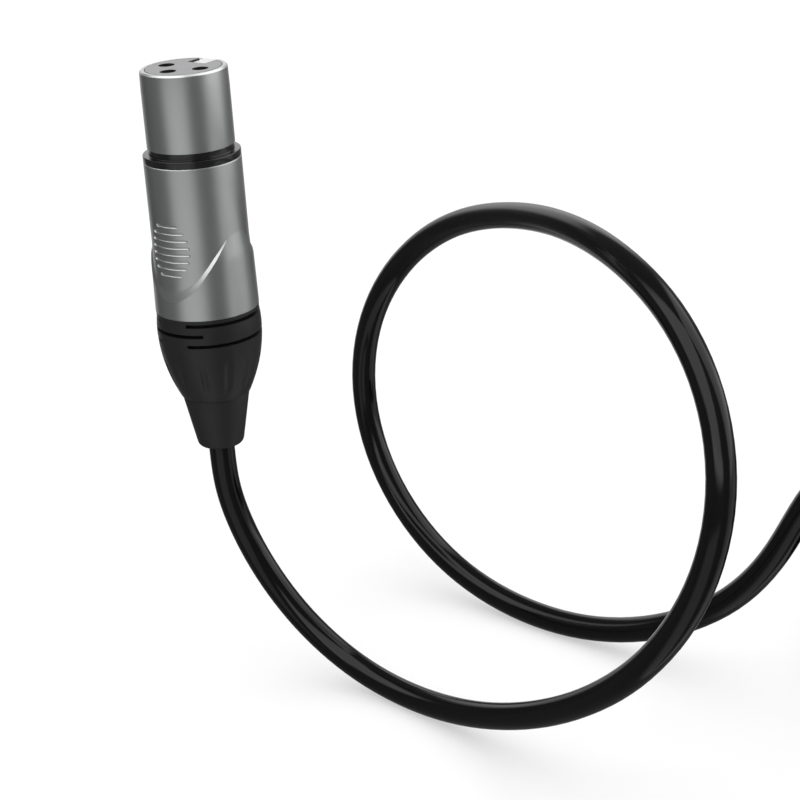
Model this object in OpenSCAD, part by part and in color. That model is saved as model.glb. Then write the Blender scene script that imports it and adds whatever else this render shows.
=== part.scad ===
// Microphone cable with a three-contact locking plug at each end.
// The socket end stands on its own lead, the rest of the lead is wound into a tied coil,
// and the pin end lies beside the coil. All sizes are in millimetres.
// Each plug is drawn on its own axis: mating face at z = 0, shell and boot towards -z,
// locking side towards +x, thumb patch towards -x. The socket end keeps that frame.

/* [Nose and shell] */
// Outer diameter of the nose that enters a mating plug
nose_d = 18.8; // [18.4:0.1:19.2]
// Length of the nose in front of the colour ring
nose_len = 16.6; // [15.5:0.1:18]
// Wall of the nose
nose_wall = 1.15; // [1:0.05:1.3]
// Length of the slightly tapered lead-in at the front of the nose
lead_in_len = 4.4; // [4.2:0.1:6]
// How far the lead-in draws in towards the rim, on the radius
lead_in_taper = 0.08; // [0.04:0.01:0.15]
// Bevel round the front rim
rim_bevel = 0.35; // [0.1:0.05:0.5]
// Outer diameter of the shell behind the ring
body_d = 21; // [20.6:0.1:21.6]
// Wall of the shell
body_wall = 1.3; // [1.1:0.05:1.5]
// Length of the shell behind the ring
body_len = 33.4; // [32:0.1:36]
// Height of the raised grip over the shell where it starts
grip_rise = 0.55; // [0.4:0.05:0.7]
// Height of the raised grip over the shell at the boot
seam_rise = 0.8; // [0.6:0.05:1]
// Distance from the ring to the raised grip
grip_from = 15.6; // [14.5:0.1:16.5]
// Length of the slope up to the raised grip
grip_ramp = 2; // [1:0.1:3]

/* [Colour ring] */
// Height of the slim lip next to the nose
lip_h = 1.4; // [1:0.1:1.8]
// Height of the wide band next to the shell
band_h = 1.4; // [1:0.1:1.8]
// How far the slim lip lies inside the nose, on the radius
lip_inset = 0.2; // [0.16:0.01:0.3]
// Depth of the groove that holds the ring
ring_seat = 0.5; // [0.4:0.05:0.6]
// Height of the plain ring on the pin end
pin_ring_h = 2.4; // [1.6:0.1:2.8]

/* [Thumb patch] */
// Number of grooves across the thumb patch
groove_n = 8; // [5:1:9]
// Distance between grooves
groove_pitch = 1.54; // [1.3:0.01:1.6]
// Width of a groove at the surface
groove_w = 0.7; // [0.4:0.05:0.9]
// Depth of a groove in the shell
groove_depth = 0.35; // [0.2:0.05:0.5]
// Distance from the ring to the first groove
groove_from = 12.7; // [11.5:0.1:13.5]
// Half width of the groove field at its widest
groove_field_w = 5.4; // [4.5:0.1:6.5]
// Half length of the oval that trims the grooves
groove_field_h = 6.5; // [6:0.1:7.5]
// Half width of the thumb scoop at its top
scoop_w = 10.4; // [9.5:0.1:10.8]
// Half width of the thumb scoop at its foot
scoop_foot_w = 6.4; // [5:0.1:7.5]
// Depth of the thumb scoop below the start of the grip
scoop_drop = 12.6; // [11.5:0.1:13.5]
// Rise of the scoop's foot towards its sides
scoop_rise = 2.7; // [1.5:0.1:3.5]

/* [Contacts] */
// Radius of the circle on which the three contacts lie
contact_circle_r = 4.76; // [4.7:0.01:4.85]
// Radius of the holes in the socket carrier
contact_hole_r = 1.75; // [1.65:0.05:1.85]
// Outer radius of a socket contact
socket_r = 1.62; // [1.5:0.01:1.63]
// Bore radius of a socket contact
socket_bore_r = 1.25; // [1.22:0.01:1.3]
// Depth of the bore of a socket contact
socket_depth = 13; // [12:0.5:15]
// How far a socket contact sits behind the mating face
socket_back = 1.2; // [0.8:0.1:2]
// Radius of a pin and of every contact's tail
pin_r = 1.2; // [1.15:0.01:1.2]
// Radius of the collar that holds a pin in its carrier
collar_r = 1.5; // [1.3:0.05:1.6]
// How far the pin tips sit behind the mouth of the barrel
pin_back = 5; // [4.6:0.1:5.4]
// Radius of the solder cup in each tail
cup_r = 0.8; // [0.7:0.05:0.9]
// Depth of the solder cup
cup_depth = 3; // [2:0.5:4]

/* [Carriers] */
// Length of the carrier's front body
carrier_len = 24; // [23:0.1:25]
// Length of the carrier's rear flange
flange_len = 3; // [2.5:0.1:3.5]
// Length of the contact tails behind the flange
tail_len = 6; // [5:0.1:6.5]
// Radial clearance of pieces that sit in the shell
seat_gap = 0.05; // [0.02:0.01:0.08]
// Bore of the pin end's barrel, more than the nose it takes, on the radius
mate_gap = 0.15; // [0.1:0.01:0.2]
// Depth of the pin end's barrel
barrel_len = 15.2; // [14.6:0.1:15.8]

/* [Latch] */
// Width of the latch
latch_w = 4.4; // [4:0.1:4.6]
// Clearance on each side of the latch
latch_gap = 0.22; // [0.15:0.01:0.3]
// Inner edge of the latch hook from the plug's axis
hook_in = 5.1; // [5:0.05:5.15]
// How far the hook stands out of the nose
hook_out = 0.7; // [0.5:0.05:0.75]
// Length of the hook along the nose
hook_len = 3.9; // [3.5:0.1:4]
// Thickness of the latch strip
strip_t = 1.2; // [1:0.05:1.3]
// Half width of the push tab
tab_hw = 3.2; // [2.8:0.1:3.4]
// Length of the push tab
tab_len = 10; // [8:0.1:11]
// Distance of the push tab from the ring
tab_from = 1.2; // [1:0.1:2]
// How far the push tab stands out of the shell
tab_out = 0.8; // [0.7:0.05:1]
// Travel of the latch when it is pressed
latch_travel = 0.8; // [0.7:0.05:0.85]
// Outer radius of the latch spring
spring_r = 1.7; // [1.5:0.05:1.9]
// Wire of the latch spring
spring_wire = 0.45; // [0.3:0.05:0.5]

/* [Clamp and boot] */
// Length of the clamp's front skirt
skirt_len = 16.5; // [15.5:0.1:17]
// Wall of the clamp's front skirt
skirt_wall = 0.8; // [0.6:0.05:0.9]
// Thickness of the clamp's plate
plate_t = 2; // [1.5:0.1:2.5]
// Length of the clamp's jaws behind the plate
jaw_len = 16.5; // [14:0.1:17]
// Radius of the jaws at the plate
jaw_r = 6.9; // [6.5:0.1:7]
// Radius of the jaws at their tip
jaw_tip_r = 4.7; // [4.4:0.1:4.9]
// Width of the slits between the jaws
slit_w = 0.8; // [0.5:0.1:1.2]
// Clearance between the jaws and the nut
jaw_gap = 0.25; // [0.15:0.05:0.35]
// Length of the boot nut outside the shell
nut_len = 19.9; // [18.5:0.1:21]
// How far the boot nut swells past the grip, on the radius
nut_swell = 0.15; // [0.05:0.05:0.3]
// How far the nut's front edge lies inside the grip, on the radius
nut_inset = 0.1; // [0.05:0.05:0.3]
// Diameter of the boot nut's rear end
nut_end_d = 15.2; // [14.8:0.1:15.8]
// Distance from the seam to the first row of slots in the nut
slot_from = 1.1; // [0.9:0.1:1.5]
// Distance between the rows of slots
slot_pitch = 2.3; // [2:0.1:2.6]
// Height of a slot
slot_h = 0.55; // [0.4:0.05:0.7]
// Depth of a slot
slot_depth = 0.9; // [0.5:0.1:1.2]
// Number of flutes round the nut
flute_n = 16; // [8:1:20]
// Depth of a flute
flute_depth = 0.3; // [0.15:0.05:0.4]
// Length of the rubber sleeve outside the nut
sleeve_len = 12.3; // [10.5:0.1:14]
// Diameter of the sleeve next to the nut
sleeve_d = 14.7; // [14.2:0.1:14.8]
// Diameter of the sleeve at the cable
sleeve_end_d = 10; // [9:0.1:10.8]
// Rounding of the sleeve's end
sleeve_round = 1.7; // [1:0.1:1.9]

/* [Cable] */
// Outer diameter of the cable
cable_d = 5.8; // [5.6:0.1:6]
// Radial clearance round the cable in the boots
cable_gap = 0.05; // [0.02:0.01:0.1]
// Radius of an insulated wire inside the cable
wire_r = 0.75; // [0.6:0.05:0.79]
// Free distance between neighbouring turns of the coil
turn_gap = 0.5; // [0.45:0.05:0.8]
// Radius of the coil's outermost turn, at the cable's centre
coil_out_r = 40.7; // [40:0.1:42]
// Turns in each of the coil's layers
layer_turns = 2.75; // [2.75:0.25:2.75]
// Radius of the tail's bend beside the coil
tail_bend_r = 26; // [24:0.5:28]
// Length of the straight end of the tail, before the boot of the pin end
tail_end = 4; // [2:0.5:8]
// Free space between the coil's widest turn and the pin end beside it
lane_gap = 0.2; // [0.1:0.1:1]

/* [Cable tie] */
// Width of the tie
tie_w = 12; // [8:1:14]
// Thickness of the tie
tie_t = 1; // [0.6:0.1:1]
// Free space between the tie and the coil
tie_gap = 0.3; // [0.2:0.05:0.4]
// Length of the flap that closes the tie
flap_len = 16; // [12:1:18]
// Thickness of the flap
flap_t = 0.9; // [0.6:0.1:1.2]

/* [Hidden] */
$fn = 64;

// Small values used by cuts that have to reach past a face
over = 1;
hair = 0.05;

// Radii of the shell
nose_r = nose_d / 2;
lead_in_r = nose_r - lead_in_taper;
bore_r = nose_r - nose_wall;
body_r = body_d / 2;
grip_r = body_r + grip_rise;
seam_r = body_r + seam_rise;
cavity_r = body_r - body_wall;
neck_r = nose_r - ring_seat;
ring_bore_r = neck_r + seat_gap / 2;
cable_r = cable_d / 2;
barrel_r = nose_r + mate_gap;

// Stations along a plug, from the mating face towards the cable
z_lip = -nose_len;
z_ledge = z_lip - lip_h;
z_body = z_ledge - band_h;
z_grip = z_body - grip_from;
z_seam = z_body - body_len;
z_shoulder = -carrier_len;
z_flange = z_shoulder - flange_len;
z_tail = z_flange - tail_len;
z_plate = z_flange - skirt_len + plate_t;
z_jaws = z_flange - skirt_len;
z_jaw_tip = z_jaws - jaw_len;
z_nut_end = z_seam - nut_len;
z_end = z_nut_end - sleeve_len;
z_jacket = z_plate - hair;

// Contacts: the middle one lies opposite the lock, the outer two on either side
contact_turn = [90, 270, 180];
function contact_at(i) =
    [contact_circle_r * cos(contact_turn[i]), contact_circle_r * sin(contact_turn[i])];

// Latch
strip_out = sqrt(pow(bore_r - 0.08, 2) - pow(latch_w / 2, 2));
strip_in = strip_out - strip_t;
stop_out = sqrt(pow(cavity_r - 0.1, 2) - pow(tab_hw + 0.7, 2));
stop_hw = tab_hw + 0.7;
z_tab = z_body - tab_from;
z_tab_end = z_tab - tab_len;
z_stop = z_shoulder - 0.6;
z_latch_end = z_tab_end - 2;
z_spring = z_flange - spring_r - 0.3;
// Floor of the latch channel, clear of the pressed hook
channel_in = hook_in - latch_travel - mate_gap;
boss_out = channel_in - 1.15;
boss_in = boss_out - 2.1;

// Boot nut
spigot_r = cavity_r - seat_gap;
z_spigot = z_jaws - hair;
nut_bore_r = jaw_r + jaw_gap;
nut_neck_r = jaw_tip_r + jaw_gap;
nut_r = seam_r + nut_swell;
nut_end_r = nut_end_d / 2;
sleeve_r = sleeve_d / 2;
sleeve_end_r = sleeve_end_d / 2;
jacket_bore_r = cable_r + cable_gap;

// Floor on which the coil, the standing loop and the pin end rest
floor_z = -140.5;

// Coil: four layers, stacked and wound side by side
turn_pitch = cable_d + turn_gap;
layers = 4;
rings_per_turn = 24;
coil_in_r = coil_out_r - layer_turns * turn_pitch;
coil_low_z = floor_z + 0.4 * cable_d;
coil_top_z = coil_low_z + (layers - 1) * turn_pitch;
stub = cable_d;
coil_start = [84, -197];
coil_c = [coil_start[0] + stub, coil_start[1] + coil_out_r];
coil_turn = layers * layer_turns * 360;
tie_lift = tie_t + tie_gap + 0.1 * cable_d;

// Pin end, lying on the floor beside the coil with its axis along +y
male_x = coil_c[0] + coil_out_r + cable_r + lane_gap + nut_r;
male_y = coil_c[1] - coil_out_r + tail_bend_r + tail_end - z_end;
male_z = floor_z + nut_r;

// Guide points of the standing lead, from the boot of the socket end to the coil
run_guides = [
    [0, 0, z_end + 10], [0, 0, z_end], [0, 0, z_end - 10],
    [1.2, -2, -104.8], [2.8, -6.6, -116], [4.4, -15.2, -127.4], [4.8, -29, -136],
    [2.8, -46.8, -138.6], [-1.4, -66.4, -135.4], [-6.2, -85.6, -127.8],
    [-10.6, -103.4, -117], [-14, -118.8, -103], [-14.4, -130, -85.8],
    [-10.6, -133.2, -67], [-3.4, -126.8, -50], [5.8, -112.8, -38.4],
    [16.2, -95.2, -33.4], [27.2, -77.8, -33], [37.8, -60.8, -35.4],
    [47.2, -43.6, -39.6], [55.4, -26, -46], [60.8, -9, -56.6], [62.8, 4.2, -72],
    [62.6, 9.8, -91.2], [60.6, 5.6, -110.6], [57.4, -7.2, -125.8],
    [53, -25.4, -134.8], [49.6, -46, -138.2], [47.8, -66.8, -137.2],
    [47.6, -86.2, -131.2], [47.4, -103, -120.4], [45.8, -115, -105.2],
    [44, -122.8, -88.4], [43.2, -135.6, -75.8], [43, -152.2, -73.2],
    [43.6, -167.6, -81.4], [46.2, -180.2, -93.6], [52.4, -189.6, -105.4],
    [62.6, -195.4, -114.8], [coil_start[0] - 10, coil_start[1], coil_top_z],
    [coil_start[0], coil_start[1], coil_top_z],
    [coil_start[0] + 10, coil_start[1], coil_top_z]];

// ---------------------------------------------------------------- cord geometry

function unit(v) = v / norm(v);
function spline_weights(u) = [
    pow(1 - u, 3), 3 * pow(u, 3) - 6 * u * u + 4,
    -3 * pow(u, 3) + 3 * u * u + 3 * u + 1, pow(u, 3)] / 6;
function spline_at(p, i, u) =
    let (w = spline_weights(u)) w[0] * p[i] + w[1] * p[i + 1] + w[2] * p[i + 2] + w[3] * p[i + 3];
// Points along the smooth curve that the guides pull, with more of them where guides are far
function spline(p) = [
    for (i = [0 : len(p) - 4])
        let (steps = norm(p[i + 2] - p[i + 1]) > 13 ? 2 : 1)
            for (k = [0 : steps - 1]) spline_at(p, i, k / steps),
    spline_at(p, len(p) - 4, 1)];

// Direction of the path at each point, given at its two ends
function tangents(p, start, finish) = concat(
    [start], [for (i = [1 : len(p) - 2]) unit(p[i + 1] - p[i - 1])], [finish]);

// A side vector carried along the path without twist
function square_to(v, t) = unit(v - (v * t) * t);
function sides_along(t, first) = [
    for (i = 0, s = square_to(first, t[0]); i < len(t);
        i = i + 1, s = i < len(t) ? square_to(s, t[i]) : s) s];

// Corners of the rings, then the closed tube that joins them
function ring_points(p, t, s, r, n) = [
    for (i = [0 : len(p) - 1], k = [0 : n - 1])
        p[i] + r * (cos(360 * k / n) * s[i] + sin(360 * k / n) * cross(t[i], s[i]))];
function tube_faces(m, n) = concat(
    [for (i = [0 : m - 2], k = [0 : n - 1]) [i * n + k, (i + 1) * n + k, (i + 1) * n + (k + 1) % n]],
    [for (i = [0 : m - 2], k = [0 : n - 1]) [i * n + k, (i + 1) * n + (k + 1) % n, i * n + (k + 1) % n]],
    [for (k = [1 : n - 2]) [0, k, k + 1]],
    [for (k = [1 : n - 2]) [(m - 1) * n, (m - 1) * n + k + 1, (m - 1) * n + k]]);
module tube(p, r, n, start, finish, side) {
    t = tangents(p, start, finish);
    s = sides_along(t, side);
    polyhedron(ring_points(p, t, s, r, n), tube_faces(len(p), n), convexity = 10);
}

// The coil winds inwards in its first and third layers and outwards in the others,
// and steps down one layer in the half turn round each reversal
layer_sweep = layer_turns * 360;
function coil_r(a) =
    let (k = min(floor(a / layer_sweep), layers - 1), b = a - k * layer_sweep)
        k % 2 == 0 ? coil_out_r - turn_pitch * b / 360 : coil_in_r + turn_pitch * b / 360;
function ease(u) = u <= 0 ? 0 : u >= 1 ? 1 : (1 - cos(180 * u)) / 2;
function coil_drop(a) = ease((a - layer_sweep + 90) / 180)
    + ease((a - 2 * layer_sweep + 90) / 180) + ease((a - 3 * layer_sweep + 90) / 180);
// Every turn rises a little where the tie passes under the coil, on the +x side
tie_flat = 22;
tie_slope = 45;
function from_tie(a) = abs(((a - 90 + 180) % 360 + 360) % 360 - 180);
function coil_lift(a) = tie_lift * (1 - ease((from_tie(a) - tie_flat) / tie_slope));
function coil_at(a) = [
    coil_c[0] + coil_r(a) * sin(a), coil_c[1] - coil_r(a) * cos(a),
    coil_top_z - turn_pitch * coil_drop(a) + coil_lift(a)];
coil_step = 360 / rings_per_turn;
coil_turns_path = [for (a = [0 : coil_step : coil_turn]) coil_at(a)];
coil_path = concat(
    [[coil_c[0] - stub, coil_c[1] - coil_out_r, coil_top_z]], coil_turns_path,
    [[coil_c[0] + stub, coil_c[1] - coil_out_r, coil_low_z]]);

// Least free distance between turns that are half a turn or more apart
function least(v) = min([for (x = v) x]);
coil_gap = least([
    for (i = [0 : len(coil_turns_path) - 1])
        for (j = [i + rings_per_turn / 2 : 1 : len(coil_turns_path) - 1])
            norm(coil_turns_path[i] - coil_turns_path[j])]) - cable_d;
echo(str("least gap of the coil to itself: ", coil_gap, " mm"));

// Length of a path, printed for each stretch of the cable
function sum(v, i = 0) = i >= len(v) ? 0 : v[i] + sum(v, i + 1);
function path_length(p) = sum([for (i = [1 : len(p) - 1]) norm(p[i] - p[i - 1])]);
echo(str("lead ", path_length(spline(run_guides)), " mm, coil ", path_length(coil_path), " mm"));

// The tail leaves the coil along +x, bends round beside it to +y and rises all the while
// to the axis of the pin end
tail_steps = 18;
tail_straight = male_x - tail_bend_r - coil_c[0] - 2 * stub;
tail_rise_len = tail_straight + PI * tail_bend_r / 2;
function tail_at(s) =
    let (a = max(0, s - tail_straight) / tail_bend_r * 180 / PI)
        [coil_c[0] + 2 * stub + min(s, tail_straight) + tail_bend_r * sin(a),
            coil_c[1] - coil_out_r + tail_bend_r * (1 - cos(a)),
            coil_low_z + ease(s / tail_rise_len) * (male_z - coil_low_z)];
tail_path = concat(
    [[coil_c[0] + stub, coil_c[1] - coil_out_r, coil_low_z]],
    [for (i = [0 : tail_steps]) tail_at(tail_rise_len * i / tail_steps)],
    [[male_x, male_y + z_end, male_z]]);

module floor_cut() {
    reach = 400;
    translate([-reach / 2, -reach, floor_z - reach]) cube([2 * reach, 2 * reach, reach]);
}

module cord_run() {
    color([0.06, 0.06, 0.065]) tube(spline(run_guides), cable_r, 10, [0, 0, -1], [1, 0, 0], [1, 0, 0]);
}
module cord_coil() {
    color([0.06, 0.06, 0.065]) difference() {
        tube(coil_path, cable_r, 6, [1, 0, 0], [1, 0, 0], [0, 0, 1]);
        floor_cut();
    }
}
module cord_tail() {
    color([0.06, 0.06, 0.065]) difference() {
        tube(tail_path, cable_r, 8, [1, 0, 0], [0, 1, 0], [0, 0, 1]);
        floor_cut();
    }
}

// ---------------------------------------------------------------- cable tie

module rounded_bar(w, h, r) {
    square([w - 2 * r, h], center = true);
    square([w, h - 2 * r], center = true);
    for (x = [-1, 1], y = [-1, 1])
        translate([x * (w / 2 - r), y * (h / 2 - r)]) circle(r);
}
tie_in = sqrt(pow(coil_in_r, 2) - pow(tie_w / 2, 2)) - cable_r - tie_gap;
tie_out = coil_out_r - turn_pitch / 4 + cable_r + tie_gap;
tie_low = floor_z + tie_t;
tie_high = coil_top_z + tie_lift + cable_r + tie_gap;
module cable_tie() {
    corner = 1.5;
    mid_x = coil_c[0] + (tie_in + tie_out) / 2;
    mid_z = (tie_low + tie_high) / 2;
    color([0.09, 0.09, 0.1]) translate([mid_x, coil_c[1] + tie_w / 2, mid_z]) {
        rotate([90, 0, 0]) linear_extrude(tie_w) difference() {
            rounded_bar(tie_out - tie_in + 2 * tie_t, tie_high - tie_low + 2 * tie_t, corner + tie_t);
            rounded_bar(tie_out - tie_in, tie_high - tie_low, corner);
        }
        translate([(tie_out - tie_in) / 2 + tie_t - hair, -tie_w, -flap_len / 2])
            cube([flap_t + hair, tie_w, flap_len]);
    }
}

// ---------------------------------------------------------------- shells

// An outline in the (y, z) plane, pushed from the axis out to the thumb side
module thumb_prism(outline) {
    depth = max(seam_r, grip_r, body_r) + over;
    translate([-depth, 0, 0]) rotate([90, 0, 90]) linear_extrude(depth) polygon(outline);
}
scoop_steps = 8;
scoop_outline = concat(
    [for (i = [-scoop_steps : scoop_steps])
        [scoop_foot_w * i / scoop_steps,
            z_grip - scoop_drop + scoop_rise * pow(i / scoop_steps, 2)]],
    [[scoop_w, z_grip - grip_ramp / 2], [scoop_w + over, z_grip + over],
        [-scoop_w - over, z_grip + over], [-scoop_w, z_grip - grip_ramp / 2]]);
groove_mid_z = z_body - groove_from - groove_pitch * (groove_n - 1) / 2;
groove_outline = [
    for (a = [0 : 15 : 345])
        [groove_field_w * cos(a), groove_mid_z + groove_field_h * sin(a)]];

module raised_grip() {
    difference() {
        rotate_extrude() polygon([
            [body_r - body_wall / 2, z_grip], [body_r, z_grip], [grip_r, z_grip - grip_ramp],
            [seam_r, z_seam], [body_r - body_wall / 2, z_seam]]);
        // One scoop at the thumb patch and one behind the push tab
        for (side = [0, 180]) rotate([0, 0, side]) thumb_prism(scoop_outline);
    }
}
module thumb_grooves() {
    intersection() {
        for (i = [0 : groove_n - 1])
            translate([0, 0, z_body - groove_from - i * groove_pitch]) rotate_extrude() polygon([
                [body_r - groove_depth, -groove_w / 4], [body_r, -groove_w / 2],
                [body_r + over, -groove_w / 2], [body_r + over, groove_w / 2],
                [body_r, groove_w / 2], [body_r - groove_depth, groove_w / 4]]);
        thumb_prism(groove_outline);
    }
}
// Rear part of both shells: the cavity for the carrier's flange, the clamp and the nut
module rear_shell(z_front, front_r) {
    difference() {
        union() {
            rotate_extrude() polygon([
                [front_r, z_front], [body_r - rim_bevel, z_front], [body_r, z_front - rim_bevel],
                [body_r, z_seam], [cavity_r, z_seam], [cavity_r, z_shoulder],
                [front_r, z_shoulder]]);
            raised_grip();
        }
        thumb_grooves();
    }
}

module female_shell() {
    color([0.62, 0.63, 0.64]) difference() {
        union() {
            rotate_extrude() polygon([
                [bore_r, 0], [lead_in_r - rim_bevel, 0], [lead_in_r, -rim_bevel],
                [nose_r, -lead_in_len], [nose_r, z_lip],
                [neck_r, z_lip], [neck_r, z_body - hair], [bore_r, z_body - hair]]);
            rear_shell(z_body, bore_r);
        }
        // Mouth of the latch hook and window of the push tab
        translate([bore_r - over, -latch_w / 2 - latch_gap, -hook_len - latch_gap])
            cube([over + nose_wall + over, latch_w + 2 * latch_gap, hook_len + latch_gap + over]);
        translate([bore_r - over, -tab_hw - latch_gap, z_tab_end - latch_gap])
            cube([over + seam_r, 2 * (tab_hw + latch_gap), tab_len + 2 * latch_gap]);
    }
}
module male_shell() {
    z_ring = z_body + pin_ring_h;
    color([0.62, 0.63, 0.64]) lying() difference() {
        union() {
            rotate_extrude() polygon([
                [barrel_r, 0], [body_r - rim_bevel, 0], [body_r, -rim_bevel],
                [body_r, z_ring], [neck_r, z_ring], [neck_r, z_body - hair],
                [bore_r, z_body - hair], [bore_r, -barrel_len], [barrel_r, -barrel_len]]);
            rear_shell(z_body, bore_r);
        }
        // Pocket that catches the hook of a mating plug
        pocket_r = nose_r + hook_out + 0.1;
        translate([barrel_r - over, -latch_w / 2 - 2 * latch_gap, hook_len + latch_gap - barrel_len
                - hook_len - latch_gap + 0.6])
            cube([over + pocket_r - barrel_r, latch_w + 4 * latch_gap, hook_len]);
    }
}
module lying() {
    translate([male_x, male_y, male_z]) rotate([0, 90, 90]) children();
}

module female_ring() {
    color([0.05, 0.05, 0.055]) rotate_extrude() polygon([
        [ring_bore_r, z_lip], [nose_r - lip_inset, z_lip], [nose_r - lip_inset, z_ledge],
        [body_r, z_ledge], [body_r, z_body], [ring_bore_r, z_body]]);
}
module male_ring() {
    color([0.05, 0.05, 0.055]) lying() rotate_extrude() polygon([
        [ring_bore_r, z_body + pin_ring_h], [body_r, z_body + pin_ring_h],
        [body_r, z_body], [ring_bore_r, z_body]]);
}

// ---------------------------------------------------------------- carriers

ground_hw = 1.6;
ground_t = 0.6;
module ground_notch() {
    translate([-ground_hw - hair, cavity_r - 2 * ground_t, z_flange - over])
        cube([2 * (ground_hw + hair), 3 * ground_t, flange_len + over + hair]);
}
module female_carrier() {
    color([0.55, 0.56, 0.56]) difference() {
        union() {
            translate([0, 0, z_shoulder]) cylinder(r = bore_r - seat_gap, h = carrier_len);
            translate([0, 0, z_flange]) cylinder(r = cavity_r - seat_gap, h = flange_len);
            // Seat and post of the latch spring
            translate([boss_in, -spring_r - 0.6, z_spring - spring_r - 0.5])
                cube([boss_out - boss_in, 2 * spring_r + 1.2, z_flange - z_spring + spring_r + 0.5]);
            translate([boss_out - hair, 0, z_spring]) rotate([0, 90, 0])
                cylinder(r = spring_r - spring_wire - 0.2, h = 1.1);
        }
        for (i = [0 : 2]) translate([contact_at(i)[0], contact_at(i)[1], 0]) {
            translate([0, 0, z_shoulder + 2 * over])
                cylinder(r = contact_hole_r, h = carrier_len);
            translate([0, 0, z_flange - over]) cylinder(r = pin_r + hair, h = carrier_len);
        }
        // Channel of the latch, wider behind the push tab
        translate([channel_in, -latch_w / 2 - latch_gap, z_flange - over])
            cube([cavity_r, latch_w + 2 * latch_gap, carrier_len + flange_len + 2 * over]);
        translate([channel_in, -stop_hw - latch_gap, z_flange - over])
            cube([cavity_r, 2 * (stop_hw + latch_gap), z_tab + latch_gap - z_flange + over]);
        ground_notch();
    }
}
module male_carrier() {
    color([0.55, 0.56, 0.56]) lying() difference() {
        union() {
            translate([0, 0, z_shoulder])
                cylinder(r = bore_r - seat_gap, h = carrier_len - barrel_len);
            translate([0, 0, z_flange]) cylinder(r = cavity_r - seat_gap, h = flange_len);
        }
        for (i = [0 : 2]) translate([contact_at(i)[0], contact_at(i)[1], z_flange - over])
            cylinder(r = collar_r + hair, h = carrier_len);
        ground_notch();
    }
}

// ---------------------------------------------------------------- contacts

module solder_tail(z_from) {
    difference() {
        translate([0, 0, z_tail]) cylinder(r = pin_r, h = z_from - z_tail);
        translate([0, 0, z_tail - over]) cylinder(r = cup_r, h = cup_depth + over);
    }
}
module socket(i) {
    z_base = z_shoulder + 2 * over;
    color([0.85, 0.68, 0.32]) translate([contact_at(i)[0], contact_at(i)[1], 0]) {
        difference() {
            translate([0, 0, z_base]) cylinder(r = socket_r, h = -socket_back - z_base);
            translate([0, 0, -socket_back - socket_depth])
                cylinder(r = socket_bore_r, h = socket_depth + over);
        }
        solder_tail(z_base + hair);
    }
}
module pin(i) {
    color([0.85, 0.68, 0.32]) lying() translate([contact_at(i)[0], contact_at(i)[1], 0]) {
        translate([0, 0, z_flange]) cylinder(r = collar_r, h = -barrel_len - z_flange);
        translate([0, 0, z_flange]) cylinder(r = pin_r, h = -pin_back - pin_r - z_flange);
        translate([0, 0, -pin_back - pin_r]) sphere(pin_r);
        solder_tail(z_flange + hair);
    }
}
module ground_strip() {
    at = contact_at(0);
    difference() {
        union() {
            translate([-ground_hw, at[1] - ground_hw, z_flange - ground_t])
                cube([2 * ground_hw, cavity_r - skirt_wall - 0.2 - at[1] + ground_hw, ground_t - 0.02]);
            intersection() {
                translate([-ground_hw, cavity_r - 2 * ground_t + hair, z_flange - ground_t])
                    cube([2 * ground_hw, 2, flange_len + ground_t - 2 * hair]);
                translate([0, 0, z_flange - over])
                    cylinder(r = cavity_r - seat_gap, h = flange_len + over);
            }
        }
        translate([at[0], at[1], z_flange - over]) cylinder(r = pin_r + 0.02, h = 2 * over);
    }
}

// ---------------------------------------------------------------- latch

module latch() {
    color([0.78, 0.79, 0.8]) {
        // Strip with its hook
        translate([0, latch_w / 2, 0]) rotate([90, 0, 0]) linear_extrude(latch_w) polygon([
            [hook_in, -0.25], [lead_in_r - 0.1, -0.25], [nose_r + hook_out, -1.3],
            [nose_r + hook_out, -hook_len], [strip_out, -hook_len], [strip_out, z_latch_end],
            [strip_in, z_latch_end], [strip_in, -hook_len], [hook_in, -hook_len]]);
        // Shoulders that stop the latch against the inside of the shell
        translate([strip_in, -stop_hw, z_latch_end])
            cube([stop_out - strip_in, 2 * stop_hw, z_stop - z_latch_end]);
        // Push tab with finger grooves
        difference() {
            intersection() {
                translate([strip_in, -tab_hw, z_tab_end]) cube([body_r, 2 * tab_hw, tab_len]);
                translate([0, 0, z_tab_end - over])
                    cylinder(r = body_r + tab_out, h = tab_len + 2 * over);
            }
            for (k = [1 : 4]) translate([body_r + tab_out, 0, z_tab - k * tab_len / 5])
                rotate([90, 0, 0]) cylinder(r = 0.6, h = 3 * tab_hw, center = true);
        }
    }
}
module latch_spring() {
    length = strip_in - boss_out - 2 * hair;
    color([0.7, 0.7, 0.72]) translate([boss_out + hair, 0, z_spring]) rotate([0, 90, 0])
        difference() {
            cylinder(r = spring_r, h = length);
            translate([0, 0, -over]) cylinder(r = spring_r - spring_wire, h = length + 2 * over);
        }
}

// ---------------------------------------------------------------- clamp, nut, sleeve

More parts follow.
